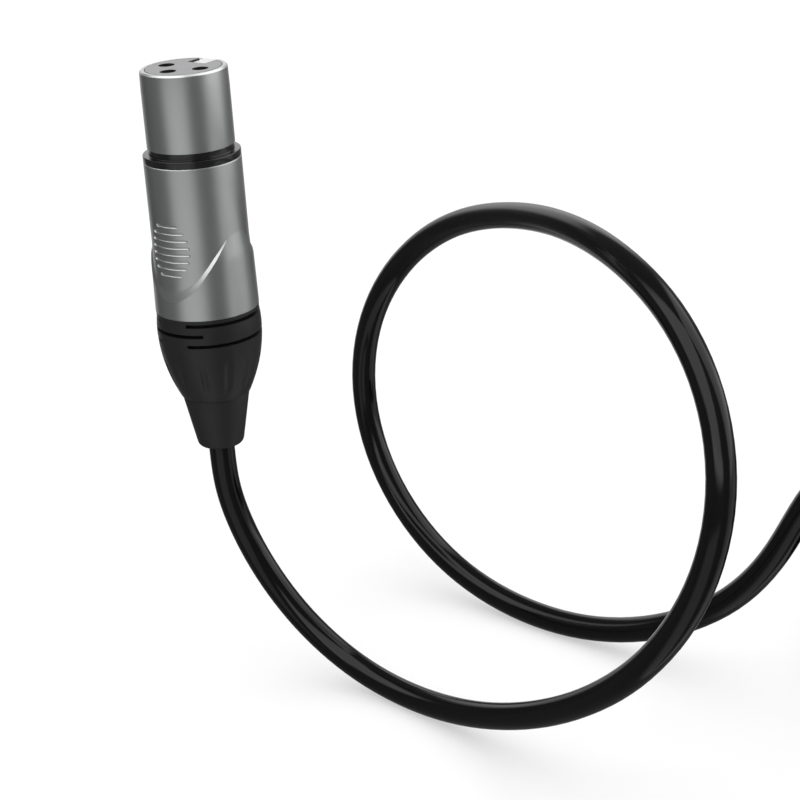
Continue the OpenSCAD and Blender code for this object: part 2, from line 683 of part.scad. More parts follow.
module clamp() {
    window_hw = stop_hw + 0.5;
    skirt_r = cavity_r - seat_gap;
    difference() {
        union() {
            translate([0, 0, z_jaws]) difference() {
                cylinder(r = skirt_r, h = skirt_len - hair);
                translate([0, 0, plate_t]) cylinder(r = skirt_r - skirt_wall, h = skirt_len);
            }
            rotate_extrude() polygon([
                [0, z_jaws + hair], [jaw_r, z_jaws + hair], [jaw_r, z_seam],
                [jaw_tip_r, z_jaw_tip], [0, z_jaw_tip]]);
        }
        translate([0, 0, z_jaw_tip - over])
            cylinder(r = jacket_bore_r, h = z_plate - z_jaw_tip + 2 * over);
        // Slits that let the jaws close on the cable
        for (k = [0 : 2]) rotate([0, 0, 60 + 120 * k])
            translate([0, -slit_w / 2, z_jaw_tip - over])
                cube([jaw_r + over, slit_w, jaw_len - 2 + over]);
        // Windows for the latch and the ground strip
        translate([0, -window_hw, z_latch_end - over])
            cube([cavity_r + over, 2 * window_hw, z_flange - z_latch_end + 2 * over]);
        translate([-ground_hw - 0.2, 0, z_flange - 2 * ground_t])
            cube([2 * ground_hw + 0.4, cavity_r + over, 3 * ground_t]);
    }
}
// Outline of the nut: straight at the seam, fullest a little behind it, then drawn in
bulge_steps = 8;
z_full = z_seam - 0.2 * nut_len;
nut_outline = concat(
    [[seam_r - nut_inset, z_seam], [nut_r, z_full]],
    [for (i = [1 : bulge_steps])
        let (u = i / bulge_steps)
            [nut_r - (nut_r - nut_end_r - 0.2) * pow(u, 2.1),
                z_full - (z_full - z_nut_end - 0.4) * u]],
    [[nut_end_r, z_nut_end]]);
module slot_row(row, start, sweep) {
    z = z_seam - slot_from - row * slot_pitch;
    for (half = [0, 180]) rotate([0, 0, start + half])
        rotate_extrude(angle = sweep)
            translate([nut_r - slot_depth, z - slot_h / 2]) square([slot_depth + over, slot_h]);
}
module boot_nut() {
    // Slots are placed by their angle from the thumb side
    thumb = 180;
    difference() {
        rotate_extrude() polygon(concat(
            [[nut_bore_r, z_spigot], [spigot_r, z_spigot], [spigot_r, z_seam]],
            nut_outline,
            [[nut_neck_r, z_nut_end], [nut_neck_r, z_jaw_tip], [nut_bore_r, z_seam]]));
        slot_row(0, thumb + 16, 140);
        slot_row(1, thumb - 51, 86);
        slot_row(2, thumb + 16, 140);
        for (k = [0 : flute_n - 1]) rotate([0, 0, (k + 0.5) * 360 / flute_n])
            translate([(nut_r + nut_end_r) / 2 + 1.6 - flute_depth, 0, z_seam - 0.78 * nut_len])
                rotate([0, 32, 0]) cylinder(r = 1, h = 9, center = true);
    }
}
module boot_sleeve() {
    plug_r = nut_neck_r - seat_gap;
    plug_len = 8;
    round_steps = 5;
    rotate_extrude() polygon(concat(
        [[jacket_bore_r, z_nut_end + plug_len], [plug_r, z_nut_end + plug_len],
            [plug_r, z_nut_end], [sleeve_r, z_nut_end]],
        [for (i = [0 : round_steps])
            let (a = 90 * i / round_steps)
                [sleeve_end_r - sleeve_round * (1 - cos(a)), z_end + sleeve_round * (1 - sin(a))]],
        [[jacket_bore_r, z_end]]));
}
module cable_end() {
    translate([0, 0, z_end]) cylinder(r = cable_r, h = z_jacket - z_end);
}

// An insulated wire from the cut jacket into one solder cup
module wire(i) {
    from = [0.38 * contact_at(i)[0], 0.38 * contact_at(i)[1], z_jacket + 0.4 * wire_r];
    to = [contact_at(i)[0], contact_at(i)[1], z_tail - wire_r];
    leg = to - from;
    translate(from) rotate([0, acos(leg[2] / norm(leg)), atan2(leg[1], leg[0])])
        cylinder(r = wire_r, h = norm(leg));
    translate(to) sphere(wire_r + 0.6 * hair);
    translate(to) cylinder(r = wire_r - hair, h = wire_r + cup_depth - hair);
}

// ---------------------------------------------------------------- nodes

female_shell();
female_ring();
female_carrier();
socket(0);  // socket_1
socket(1);  // socket_2
socket(2);  // socket_3
latch();
latch_spring();
color([0.8, 0.8, 0.82]) ground_strip();  // female_ground_strip
color([0.2, 0.22, 0.25]) clamp();  // female_clamp
color([0.07, 0.07, 0.07]) boot_nut();  // female_boot_nut
color([0.09, 0.09, 0.09]) boot_sleeve();  // female_boot_sleeve
color([0.06, 0.06, 0.065]) cable_end();  // female_cable_end
color([0.7, 0.08, 0.06]) wire(1);  // female_wire_red
color([0.85, 0.85, 0.82]) wire(2);  // female_wire_white
color([0.72, 0.45, 0.28]) wire(0);  // female_drain_wire
male_shell();
male_ring();
male_carrier();
pin(0);  // pin_1
pin(1);  // pin_2
pin(2);  // pin_3
color([0.8, 0.8, 0.82]) lying() ground_strip();  // male_ground_strip
color([0.2, 0.22, 0.25]) lying() clamp();  // male_clamp
color([0.07, 0.07, 0.07]) lying() boot_nut();  // male_boot_nut
color([0.09, 0.09, 0.09]) lying() boot_sleeve();  // male_boot_sleeve
color([0.06, 0.06, 0.065]) lying() cable_end();  // male_cable_end
color([0.7, 0.08, 0.06]) lying() wire(1);  // male_wire_red
color([0.85, 0.85, 0.82]) lying() wire(2);  // male_wire_white
color([0.72, 0.45, 0.28]) lying() wire(0);  // male_drain_wire
cord_run();
cord_coil();
cord_tail();
cable_tie();
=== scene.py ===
"""Dresses the microphone cable: both plugs, the standing lead, the tied coil and the stage."""

import logging
import math
from collections.abc import Callable, Iterable, Mapping, Sequence
from dataclasses import dataclass, field
from enum import Enum

import bmesh
import bpy
from mathutils import Matrix, Vector


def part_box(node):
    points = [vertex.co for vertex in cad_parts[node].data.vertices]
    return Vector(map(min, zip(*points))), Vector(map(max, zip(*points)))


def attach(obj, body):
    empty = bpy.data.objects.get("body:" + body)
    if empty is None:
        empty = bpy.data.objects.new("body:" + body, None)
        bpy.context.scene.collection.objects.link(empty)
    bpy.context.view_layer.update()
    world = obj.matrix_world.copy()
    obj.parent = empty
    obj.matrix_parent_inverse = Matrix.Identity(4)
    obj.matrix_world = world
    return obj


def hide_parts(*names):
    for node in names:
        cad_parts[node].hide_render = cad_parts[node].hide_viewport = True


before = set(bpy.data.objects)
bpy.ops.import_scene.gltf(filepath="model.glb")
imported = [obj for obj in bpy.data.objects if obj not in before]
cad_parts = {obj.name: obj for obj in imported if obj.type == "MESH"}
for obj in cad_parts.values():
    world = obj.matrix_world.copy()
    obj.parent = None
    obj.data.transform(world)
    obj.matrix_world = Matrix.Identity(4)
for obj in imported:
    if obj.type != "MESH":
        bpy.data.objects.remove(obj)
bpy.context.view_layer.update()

LOG = logging.getLogger("cable")
MM = 0.001

Point2 = tuple[float, float]
Point3 = tuple[float, float, float]
Piece = bpy.types.Object
Socket = bpy.types.NodeSocket
Node = bpy.types.Node
Number = "Value | float"
Inputs = Mapping[str | int, object]

UNSTRETCHED: Point3 = (1.0, 1.0, 1.0)
WHITE = (1.0, 1.0, 1.0, 1.0)
BLACK: Point3 = (0.011, 0.011, 0.0115)
CARRIER_GREY: Point3 = (0.27, 0.27, 0.275)


# ------------------------------------------------------------------ shared places


class Plug(Enum):
    """The two plugs of the cable, by the word their nodes start with."""

    SOCKET_END = "female"
    PIN_END = "male"


class Axis(Enum):
    """The part's axis that a plug lies along, by its place in a vector."""

    Y = 1
    Z = 2


class Elements(Enum):
    """What a mesh is edited by, in Blender's words."""

    POINTS = "VERT"
    EDGES = "EDGE"
    FACES = "FACE"


@dataclass(frozen=True)
class Stations:
    """Where the pieces of a plug begin and end along its axis, in millimetres from the face."""

    nose: float = -16.6
    ledge: float = -18.0
    body: float = -19.4
    grip_full: float = -38.0
    seam: float = -52.8
    nut_end: float = -72.7
    end: float = -85.0


# Places and sizes that more than one piece follows, in millimetres.
AT = Stations()
FLOOR_Z = -140.5
CABLE_D = 5.8
COIL_CENTRE = (89.8, -156.3)
CONTACTS = ((0.0, 4.76), (0.0, -4.76), (-4.76, 0.0))
RING_H = 2.4

# Less than any real distance between two rings of a shell.
HAIR = 1e-4

# The corners of a face of the cord, as steps along it and round it.
QUAD = ((0, 0), (0, 1), (1, 1), (1, 0))


def pin_end_face() -> Vector:
    """Works out where the pin end lies from its CAD solids.

    Returns:
        The middle of its mating face, in metres.
    """
    low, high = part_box("male_boot_nut")
    middle = (low + high) / 2
    return Vector((middle.x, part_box("male_shell")[1].y, middle.z))


def placed(plug: Plug) -> Matrix:
    """Gives the matrix that puts a plug's own frame, in metres, into the part's frame.

    Args:
        plug: The plug to place.

    Returns:
        The identity for the socket end; the pin end lies along +Y, its thumb patch up.
    """
    if plug is Plug.SOCKET_END:
        return Matrix.Identity(4)
    quarter = math.radians(90)
    turned = Matrix.Rotation(quarter, 4, "Z") @ Matrix.Rotation(quarter, 4, "Y")
    return Matrix.Translation(pin_end_face()) @ turned


# ------------------------------------------------------------------ shader expressions


class Value:
    """A number on a node's socket that takes part in Python arithmetic."""

    def __init__(self, nodes: "NodeTree", socket: Socket) -> None:
        """Keeps the tree and the socket."""
        self.nodes = nodes
        self.socket = socket

    def _math(self, operation: str, first: Number, second: Number = 0.0) -> "Value":
        """Adds a Math node and gives its result."""
        node = self.nodes.add("ShaderNodeMath", {"operation": operation}, {0: first, 1: second})
        return Value(self.nodes, node.outputs[0])

    def __add__(self, other: Number) -> "Value":
        """Adds."""
        return self._math("ADD", self, other)

    __radd__ = __add__

    def __mul__(self, other: Number) -> "Value":
        """Multiplies."""
        return self._math("MULTIPLY", self, other)

    __rmul__ = __mul__

    def __sub__(self, other: Number) -> "Value":
        """Subtracts."""
        return self._math("SUBTRACT", self, other)

    def __rsub__(self, other: Number) -> "Value":
        """Subtracts from a plain number."""
        return self._math("SUBTRACT", other, self)

    def __truediv__(self, other: Number) -> "Value":
        """Divides."""
        return self._math("DIVIDE", self, other)

    def power(self, exponent: float) -> "Value":
        """Raises to a power."""
        return self._math("POWER", self, exponent)

    def at_most(self, other: Number) -> "Value":
        """Takes the smaller of two numbers."""
        return self._math("MINIMUM", self, other)

    def at_least(self, other: Number) -> "Value":
        """Takes the larger of two numbers."""
        return self._math("MAXIMUM", self, other)

    def rise(self, low: float, high: float) -> "Value":
        """Rises smoothly from 0 to 1.

        Args:
            low: Up to here the result is 0.
            high: From here on it is 1.

        Returns:
            The share of the rise.
        """
        node = self.nodes.add(
            "ShaderNodeMapRange",
            {"interpolation_type": "SMOOTHSTEP"},
            {"Value": self, "From Min": low, "From Max": high},
        )
        return Value(self.nodes, node.outputs["Result"])


class NodeTree:
    """Builds a node tree with one method for every kind of node."""

    def __init__(self, tree: bpy.types.NodeTree) -> None:
        """Empties the tree and keeps it."""
        tree.nodes.clear()
        self.tree = tree

    def add(
        self,
        kind: str,
        settings: Mapping[str, object] | None = None,
        values: Inputs | None = None,
    ) -> Node:
        """Adds a node, sets it up and feeds its sockets.

        Args:
            kind: The node's type.
            settings: Properties of the node, set first.
            values: Numbers, colours, sockets or expressions for its inputs, by name or place.

        Returns:
            The new node.
        """
        node = self.tree.nodes.new(kind)
        for name, value in (settings or {}).items():
            setattr(node, name, value)
        for name, value in (values or {}).items():
            socket = node.inputs[name]
            if isinstance(value, Value):
                value = value.socket
            if isinstance(value, Socket):
                self.tree.links.new(value, socket)
            else:
                socket.default_value = value
        return node

    def stretched(self, where: Socket, stretch: Point3) -> Socket:
        """Stretches coordinates along the axes."""
        node = self.add("ShaderNodeMapping", values={"Vector": where, "Scale": stretch})
        return node.outputs[0]

    def place(self, stretch: Point3 = UNSTRETCHED) -> Socket:
        """Gives Object coordinates, stretched along the axes."""
        where = self.add("ShaderNodeTexCoord")
        return self.stretched(where.outputs["Object"], stretch)

    def along(self, stretch: Point3 = UNSTRETCHED) -> Socket:
        """Gives the piece's own UV map, stretched along its two directions."""
        where = self.add("ShaderNodeUVMap")
        return self.stretched(where.outputs[0], stretch)

    def split(self, vector: Socket) -> list[Value]:
        """Gives a vector's x, y and z."""
        parts = self.add("ShaderNodeSeparateXYZ", values={0: vector})
        return [Value(self, part) for part in parts.outputs]

    def noise(
        self, where: Socket, scale: float, detail: float = 2.0, rough: float = 0.5
    ) -> Value:
        """Gives a noise value from 0 to 1.

        Args:
            where: The coordinates to read.
            scale: Cycles a metre, or a UV unit.
            detail: Octaves of the noise.
            rough: How much the finer octaves count.

        Returns:
            The noise.
        """
        node = self.add(
            "ShaderNodeTexNoise",
            values={"Vector": where, "Scale": scale, "Detail": detail, "Roughness": rough},
        )
        return Value(self, node.outputs["Fac"])

    def blend(
        self,
        share: Number,
        low: Sequence[float] | Socket,
        high: Sequence[float] | Socket,
    ) -> Socket:
        """Blends two colours.

        Args:
            share: How much of the second colour shows.
            low: The first colour, or its socket.
            high: The second colour, or its socket.

        Returns:
            The colour's socket.
        """
        low, high = (c if isinstance(c, Socket) else (*c, 1.0) for c in (low, high))
        node = self.add("ShaderNodeMix", {"data_type": "RGBA"}, {0: share, 6: low, 7: high})
        return node.outputs[2]

    def mix(self, share: "Value | Socket", low: Node, high: Node) -> Node:
        """Mixes two shaders by the share of the second."""
        values = {0: share, 1: low.outputs[0], 2: high.outputs[0]}
        return self.add("ShaderNodeMixShader", values=values)

    def bump(
        self,
        height: Value,
        depth: float,
        under: Socket | None = None,
        strength: float = 1.0,
    ) -> Socket:
        """Turns a height from 0 to 1 into a normal.

        Args:
            height: The height.
            depth: The real depth of the relief, in metres.
            under: A coarser normal that this one lies on.
            strength: The share of the relief that shows.

        Returns:
            The normal's socket.
        """
        values = {"Height": height, "Distance": depth, "Strength": strength}
        if under is not None:
            values["Normal"] = under
        return self.add("ShaderNodeBump", values=values).outputs[0]


# ------------------------------------------------------------------ finishes


def shade(tone: Point3, factor: float) -> Point3:
    """Makes a colour darker, or lighter up to white."""
    return tuple(min(1.0, factor * part) for part in tone)


class Finish:
    """A surface finish. Each kind of finish gives the inputs of its surface shader."""

    name: str

    def look(self, tree: NodeTree) -> Inputs:
        """Gives the inputs of the surface shader, by name."""
        raise NotImplementedError

    def surface(self, tree: NodeTree) -> Node:
        """Adds the surface shader."""
        return tree.add("ShaderNodeBsdfPrincipled", values=self.look(tree))

    def build(self) -> bpy.types.Material:
        """Makes the material.

        Returns:
            The material, with all of its nodes.
        """
        material = bpy.data.materials.new(self.name)
        material.use_nodes = True
        tree = NodeTree(material.node_tree)
        tree.add("ShaderNodeOutputMaterial", values={"Surface": self.surface(tree).outputs[0]})
        return material


@dataclass(frozen=True)
class SatinNickel(Finish):
    """Blasted and nickel-plated zinc, with faint handling marks and a painted highlight on the
    front rim.
    """

    name: str
    tone: Point3 = (0.495, 0.507, 0.503)
    # The lighter colour of the painted highlight on the front rim.
    rim_highlight_tone: Point3 = (0.72, 0.73, 0.72)
    gloss: float = 0.36
    marks_along: Point3 = (1.0, 1.0, 0.06)
    axis: Axis = Axis.Z
    rim: float = 0.0
    rim_band: Point2 = (-0.5, -0.2)
    grain_depth: float = 0.012 * MM
    mark_depth: float = 0.004 * MM

    def look(self, tree: NodeTree) -> Inputs:
        """Gives the inputs of the surface shader.

        Args:
            tree: The material's nodes.

        Returns:
            The inputs, by name.
        """
        grain = tree.noise(tree.place(), scale=5200.0, rough=0.6)
        cloud = tree.noise(tree.place(), scale=90.0, detail=3.0, rough=0.55)
        marks = tree.noise(tree.place(self.marks_along), scale=2600.0).rise(0.66, 0.8)
        fine = tree.bump(grain, self.grain_depth, strength=0.55)
        along = tree.split(tree.place())[self.axis.value]
        # Painted highlight: the colour lightens over the last half millimetre before the front
        # face, unevenly by the cloud.
        start, full = (self.rim + edge * MM for edge in self.rim_band)
        rim_highlight = along.rise(start, full) * (cloud * 0.4 + 0.75)
        low, high = shade(self.tone, 0.94), shade(self.tone, 1.05)
        plated = tree.blend(cloud * 0.6 + grain * 0.4, low, high)
        return {
            "Base Color": tree.blend(rim_highlight.at_most(1.0), plated, self.rim_highlight_tone),
            "Metallic": 1.0,
            "Roughness": (cloud - 0.5) * 0.07 + (grain - 0.5) * 0.10 - marks * 0.05 + self.gloss,
            "Normal": tree.bump(marks, self.mark_depth, fine, 0.5),
        }


@dataclass(frozen=True)
class BrightNickel(Finish):
    """Stamped and plated strip, brighter than the shell, with drawn lines."""

    name: str
    tone: Point3 = (0.80, 0.80, 0.79)
    gloss: float = 0.24
    line_depth: float = 0.006 * MM

    def look(self, tree: NodeTree) -> Inputs:
        """Gives the inputs of the surface shader.

        Args:
            tree: The material's nodes.

        Returns:
            The inputs, by name.
        """
        drawn = tree.noise(tree.place((1.0, 1.0, 0.05)), scale=7000.0)
        cloud = tree.noise(tree.place(), scale=260.0, detail=3.0)
        return {
            "Base Color": tree.blend(cloud, shade(self.tone, 0.93), self.tone),
            "Metallic": 1.0,
            "Roughness": (drawn - 0.5) * 0.12 + self.gloss,
            "Normal": tree.bump(drawn, self.line_depth, strength=0.4),
        }


@dataclass(frozen=True)
class Gold(Finish):
    """Thin gold plate on turned brass."""

    name: str
    dark: Point3 = (0.83, 0.60, 0.24)
    light: Point3 = (0.93, 0.71, 0.34)
    line_depth: float = 0.004 * MM

    def look(self, tree: NodeTree) -> Inputs:
        """Gives the inputs of the surface shader.

        Args:
            tree: The material's nodes.

        Returns:
            The inputs, by name.
        """
        turned = tree.noise(tree.place((0.1, 0.1, 1.0)), scale=9000.0)
        cloud = tree.noise(tree.place(), scale=500.0)
        return {
            "Base Color": tree.blend(cloud, self.dark, self.light),
            "Metallic": 1.0,
            "Roughness": (turned - 0.5) * 0.08 + 0.2,
            "Normal": tree.bump(turned, self.line_depth, strength=0.4),
        }


@dataclass(frozen=True)
class Moulded(Finish):
    """Moulded plastic or rubber with a fine spark-eroded texture."""

    name: str
    tone: Point3
    gloss: float
    texture: float = 4200.0
    depth: float = 0.018 * MM
    spread: float = 0.12
    shine: float = 0.5

    def colour(self, tree: NodeTree, share: Value) -> Socket:
        """Blends the darker and the lighter shade of the plastic."""
        low, high = shade(self.tone, 1 - self.spread), shade(self.tone, 1 + self.spread)
        return tree.blend(share, low, high)

    def look(self, tree: NodeTree) -> Inputs:
        """Gives the inputs of the surface shader.

        Args:
            tree: The material's nodes.

        Returns:
            The inputs, by name.
        """
        pores = tree.noise(tree.place(), scale=self.texture, rough=0.6)
        cloud = tree.noise(tree.place(), scale=140.0, detail=3.0)
        return {
            "Base Color": self.colour(tree, cloud * 0.7 + pores * 0.3),
            "Roughness": (cloud - 0.5) * 0.10 + (pores - 0.5) * 0.08 + self.gloss,
            "Specular IOR Level": self.shine,
            "Normal": tree.bump(pores, self.depth, strength=0.5),
        }


@dataclass(frozen=True)
class WellShadedPlastic(Moulded):
    """Moulded plastic with painted shade in the contact wells, round the rim and at the channel."""

    wells: tuple[Point2, ...] = CONTACTS
    well_r: float = 1.75
    well_edge: Point2 = (0.02, 0.12)
    well_depth: Point2 = (-0.12, -0.01)
    rim_r: float = 8.0
    rim_edge: float = 0.1
    rim_shade_share: float = 0.8
    channel: Point2 = (4.15, 2.62)
    channel_edge: float = 0.06
    # The colour of the painted shade in the wells, round the rim and at the channel.
    painted_shade_tone: Point3 = (0.006, 0.006, 0.006)

    def painted_shade(self, tree: NodeTree) -> Value:
        """Finds where shade is painted: deep in the wells, round the rim and at the channel.

        Args:
            tree: The material's nodes.

        Returns:
            1 where shade is painted and 0 on the open face.
        """
        x, y, z = tree.split(tree.place())
        start, full = ((self.well_r + edge) * MM for edge in self.well_edge)
        # Painted shade in the contact wells, below the face only.
        wells: Number = 0.0
        for well_x, well_y in self.wells:
            across, up = x - well_x * MM, y - well_y * MM
            wells = wells + (1 - (across * across + up * up).power(0.5).rise(start, full))
        deep, shallow = (depth * MM for depth in self.well_depth)
        wells = wells * (1 - z.rise(deep, shallow))
        # Painted shade at the channel, and in a ring round the rim.
        inner, half = self.channel
        beside = (y * y).power(0.5).rise(
            (half - self.channel_edge) * MM, (half + self.channel_edge) * MM
        )
        past = x.rise((inner - self.channel_edge) * MM, (inner + self.channel_edge) * MM)
        rim = (x * x + y * y).power(0.5).rise(self.rim_r * MM, (self.rim_r + self.rim_edge) * MM)
        return (wells + past * (1 - beside) + rim * self.rim_shade_share).at_most(1.0)

    def colour(self, tree: NodeTree, share: Value) -> Socket:
        """Paints the shade over the darker and lighter tones of the plastic."""
        return tree.blend(self.painted_shade(tree), super().colour(tree, share), self.painted_shade_tone)


@dataclass(frozen=True)
class CableJacket(Finish):
    """Smooth glossy PVC over twisted cores, with a faint wave and rubbed specks along it."""

    name: str
    tone: Point3 = (0.0032, 0.0032, 0.0035)
    shine: float = 0.25
    wave_depth: float = 0.06 * MM
    speck_depth: float = 0.004 * MM

    def look(self, tree: NodeTree) -> Inputs:
        """Gives the inputs of the surface shader.

        Args:
            tree: The material's nodes.

        Returns:
            The inputs, by name.
        """
        wave = tree.noise(tree.along((45.0, 1.2, 1.0)), scale=1.0, rough=0.4)
        specks = tree.noise(tree.along((900.0, 10.0, 1.0)), scale=1.0, detail=3.0, rough=0.6)
        patches = tree.noise(tree.along((16.0, 2.0, 1.0)), scale=1.0, detail=3.0, rough=0.6)
        rubbed = patches.rise(0.45, 0.75)
        smooth = tree.bump(wave, self.wave_depth, strength=0.25)
        return {
            "Base Color": tree.blend(rubbed, self.tone, shade(self.tone, 1.6)),
            "Roughness": rubbed * 0.04 + (specks - 0.5) * 0.05 + 0.10,
            "Specular IOR Level": self.shine,
            "Normal": tree.bump(specks, self.speck_depth, smooth, 0.35),
        }


@dataclass(frozen=True)
class TwistedCopper(Finish):
    """Bare copper strands twisted into one conductor."""

    name: str
    dark: Point3 = (0.55, 0.26, 0.15)
    light: Point3 = (0.86, 0.50, 0.34)
    strand_depth: float = 0.06 * MM

    def look(self, tree: NodeTree) -> Inputs:
        """Gives the inputs of the surface shader.

        Args:
            tree: The material's nodes.

        Returns:
            The inputs, by name.
        """
        strands = tree.noise(tree.place((1.0, 1.0, 0.3)), scale=3000.0, detail=1.0, rough=0.4)
        return {
            "Base Color": tree.blend(strands, self.dark, self.light),
            "Metallic": 1.0,
            "Roughness": strands * 0.15 + 0.24,
            "Normal": tree.bump(strands, self.strand_depth, strength=0.6),
        }


@dataclass(frozen=True)
class LoopPile(Finish):
    """Black hook-and-loop strap: a dense pile over a ribbed weave."""

    name: str
    dark: Point3 = (0.006, 0.006, 0.007)
    light: Point3 = (0.045, 0.045, 0.048)
    ribs_across: float = 14.0
    pile_depth: float = 0.25 * MM
    sheen: float = 0.35

    def look(self, tree: NodeTree) -> Inputs:
        """Gives the inputs of the surface shader.

        Args:
            tree: The material's nodes.

        Returns:
            The inputs, by name.
        """
        bands = tree.add(
            "ShaderNodeTexWave",
            {"wave_type": "BANDS", "bands_direction": "Y"},
            {"Vector": tree.along(), "Scale": self.ribs_across, "Distortion": 1.2, "Detail": 2.0},
        )
        rib = Value(tree, bands.outputs["Fac"])
        pile = tree.noise(tree.place(), scale=2600.0, detail=4.0, rough=0.65)
        tuft = tree.noise(tree.place(), scale=900.0)
        height = pile * 0.6 + tuft * 0.3 + rib * 0.25
        return {
            "Base Color": tree.blend(pile * 0.7 + tuft * 0.3, self.dark, self.light),
            "Roughness": (pile - 0.5) * 0.1 + 0.85,
            "Sheen Weight": self.sheen,
            "Normal": tree.bump(height, self.pile_depth, strength=0.8),
        }


@dataclass(frozen=True)
class Paper(Finish):
    """Seamless white studio paper for the floor."""

    name: str = "studio_paper"
    dark: Point3 = (0.93, 0.93, 0.93)
    light: Point3 = (0.95, 0.95, 0.95)
    glow: float = 0.5

    def look(self, tree: NodeTree) -> Inputs:
        """Gives the inputs of the surface shader.

        Args:
            tree: The material's nodes.

        Returns:
            The inputs, by name.
        """
        fibre = tree.noise(tree.place(), scale=60.0, detail=3.0)
        return {
            "Base Color": tree.blend(fibre, self.dark, self.light),
            "Roughness": fibre * 0.05 + 0.9,
            "Specular IOR Level": 0.0,
        }

    def surface(self, tree: NodeTree) -> Node:
        """Adds the paper's shader, and plain white that only the camera sees.

        Args:
            tree: The material's nodes.

        Returns:
            The shader that mixes the two.
        """
        paper = super().surface(tree)
        white = tree.add("ShaderNodeEmission", values={"Color": WHITE, "Strength": 1.0})
        ray = tree.add("ShaderNodeLightPath")
        return tree.mix(Value(tree, ray.outputs["Is Camera Ray"]) * self.glow, paper, white)


class Palette:
    """All finishes of the cable, each made once."""

    def __init__(self) -> None:
        """Makes every material."""
        finishes: dict[str, Finish] = {
            "satin_nickel": SatinNickel("satin_nickel_upright"),
            "satin_nickel_lying": SatinNickel(
                "satin_nickel_lying",
                marks_along=(1.0, 0.06, 1.0),
                axis=Axis.Y,
                rim=pin_end_face().y,
            ),
            "latch_nickel": BrightNickel("bright_nickel"),
            "spring_steel": BrightNickel("spring_wire", (0.60, 0.60, 0.62), gloss=0.3),
            "tinned_strip": BrightNickel("tin_plate", (0.74, 0.74, 0.73), gloss=0.34),
            "contact_gold": Gold("gold_plate"),
            "ring_plastic": Moulded(
                "ring_gloss_black",
                (0.006, 0.006, 0.0065),
                gloss=0.18,
                texture=3000.0,
                depth=0.004 * MM,
            ),
            "carrier_plastic": Moulded(
                "carrier_mid_grey",
                CARRIER_GREY,
                gloss=0.55,
                texture=3600.0,
                depth=0.01 * MM,
                spread=0.05,
            ),
            # The socket end's carrier, with painted shade in its wells, round its rim and at the
            # channel.
            "carrier_painted_shade": WellShadedPlastic(
                "carrier_mid_grey_painted_shade",
                CARRIER_GREY,
                gloss=0.5,
                texture=3600.0,
                depth=0.01 * MM,
                spread=0.05,
            ),
            "clamp_plastic": Moulded("clamp_grey", (0.09, 0.10, 0.12), gloss=0.5),
            "boot_plastic": Moulded(
                "boot_satin_black", BLACK, gloss=0.42, depth=0.016 * MM, shine=0.31
            ),
            "boot_rubber": Moulded(
                "boot_rubber_black", BLACK, gloss=0.52, texture=3400.0, depth=0.02 * MM, shine=0.31
            ),
            "cable_jacket": CableJacket("cable_jacket_black"),
            "wire_red": Moulded("wire_red", (0.50, 0.03, 0.025), gloss=0.35),
            "wire_white": Moulded("wire_white", (0.78, 0.78, 0.75), gloss=0.35),
            "bare_copper": TwistedCopper("bare_copper"),
            "tie_fabric": LoopPile("tie_loop_pile"),
        }
        self.made = {name: finish.build() for name, finish in finishes.items()}

    def dress(self, piece: Piece, finish: str) -> None:
        """Gives a piece one finish all over.

        Args:
            piece: The piece or CAD node.
            finish: The finish's name.
        """
        piece.data.materials.clear()
        piece.data.materials.append(self.made[finish])


# ------------------------------------------------------------------ modelling by hand


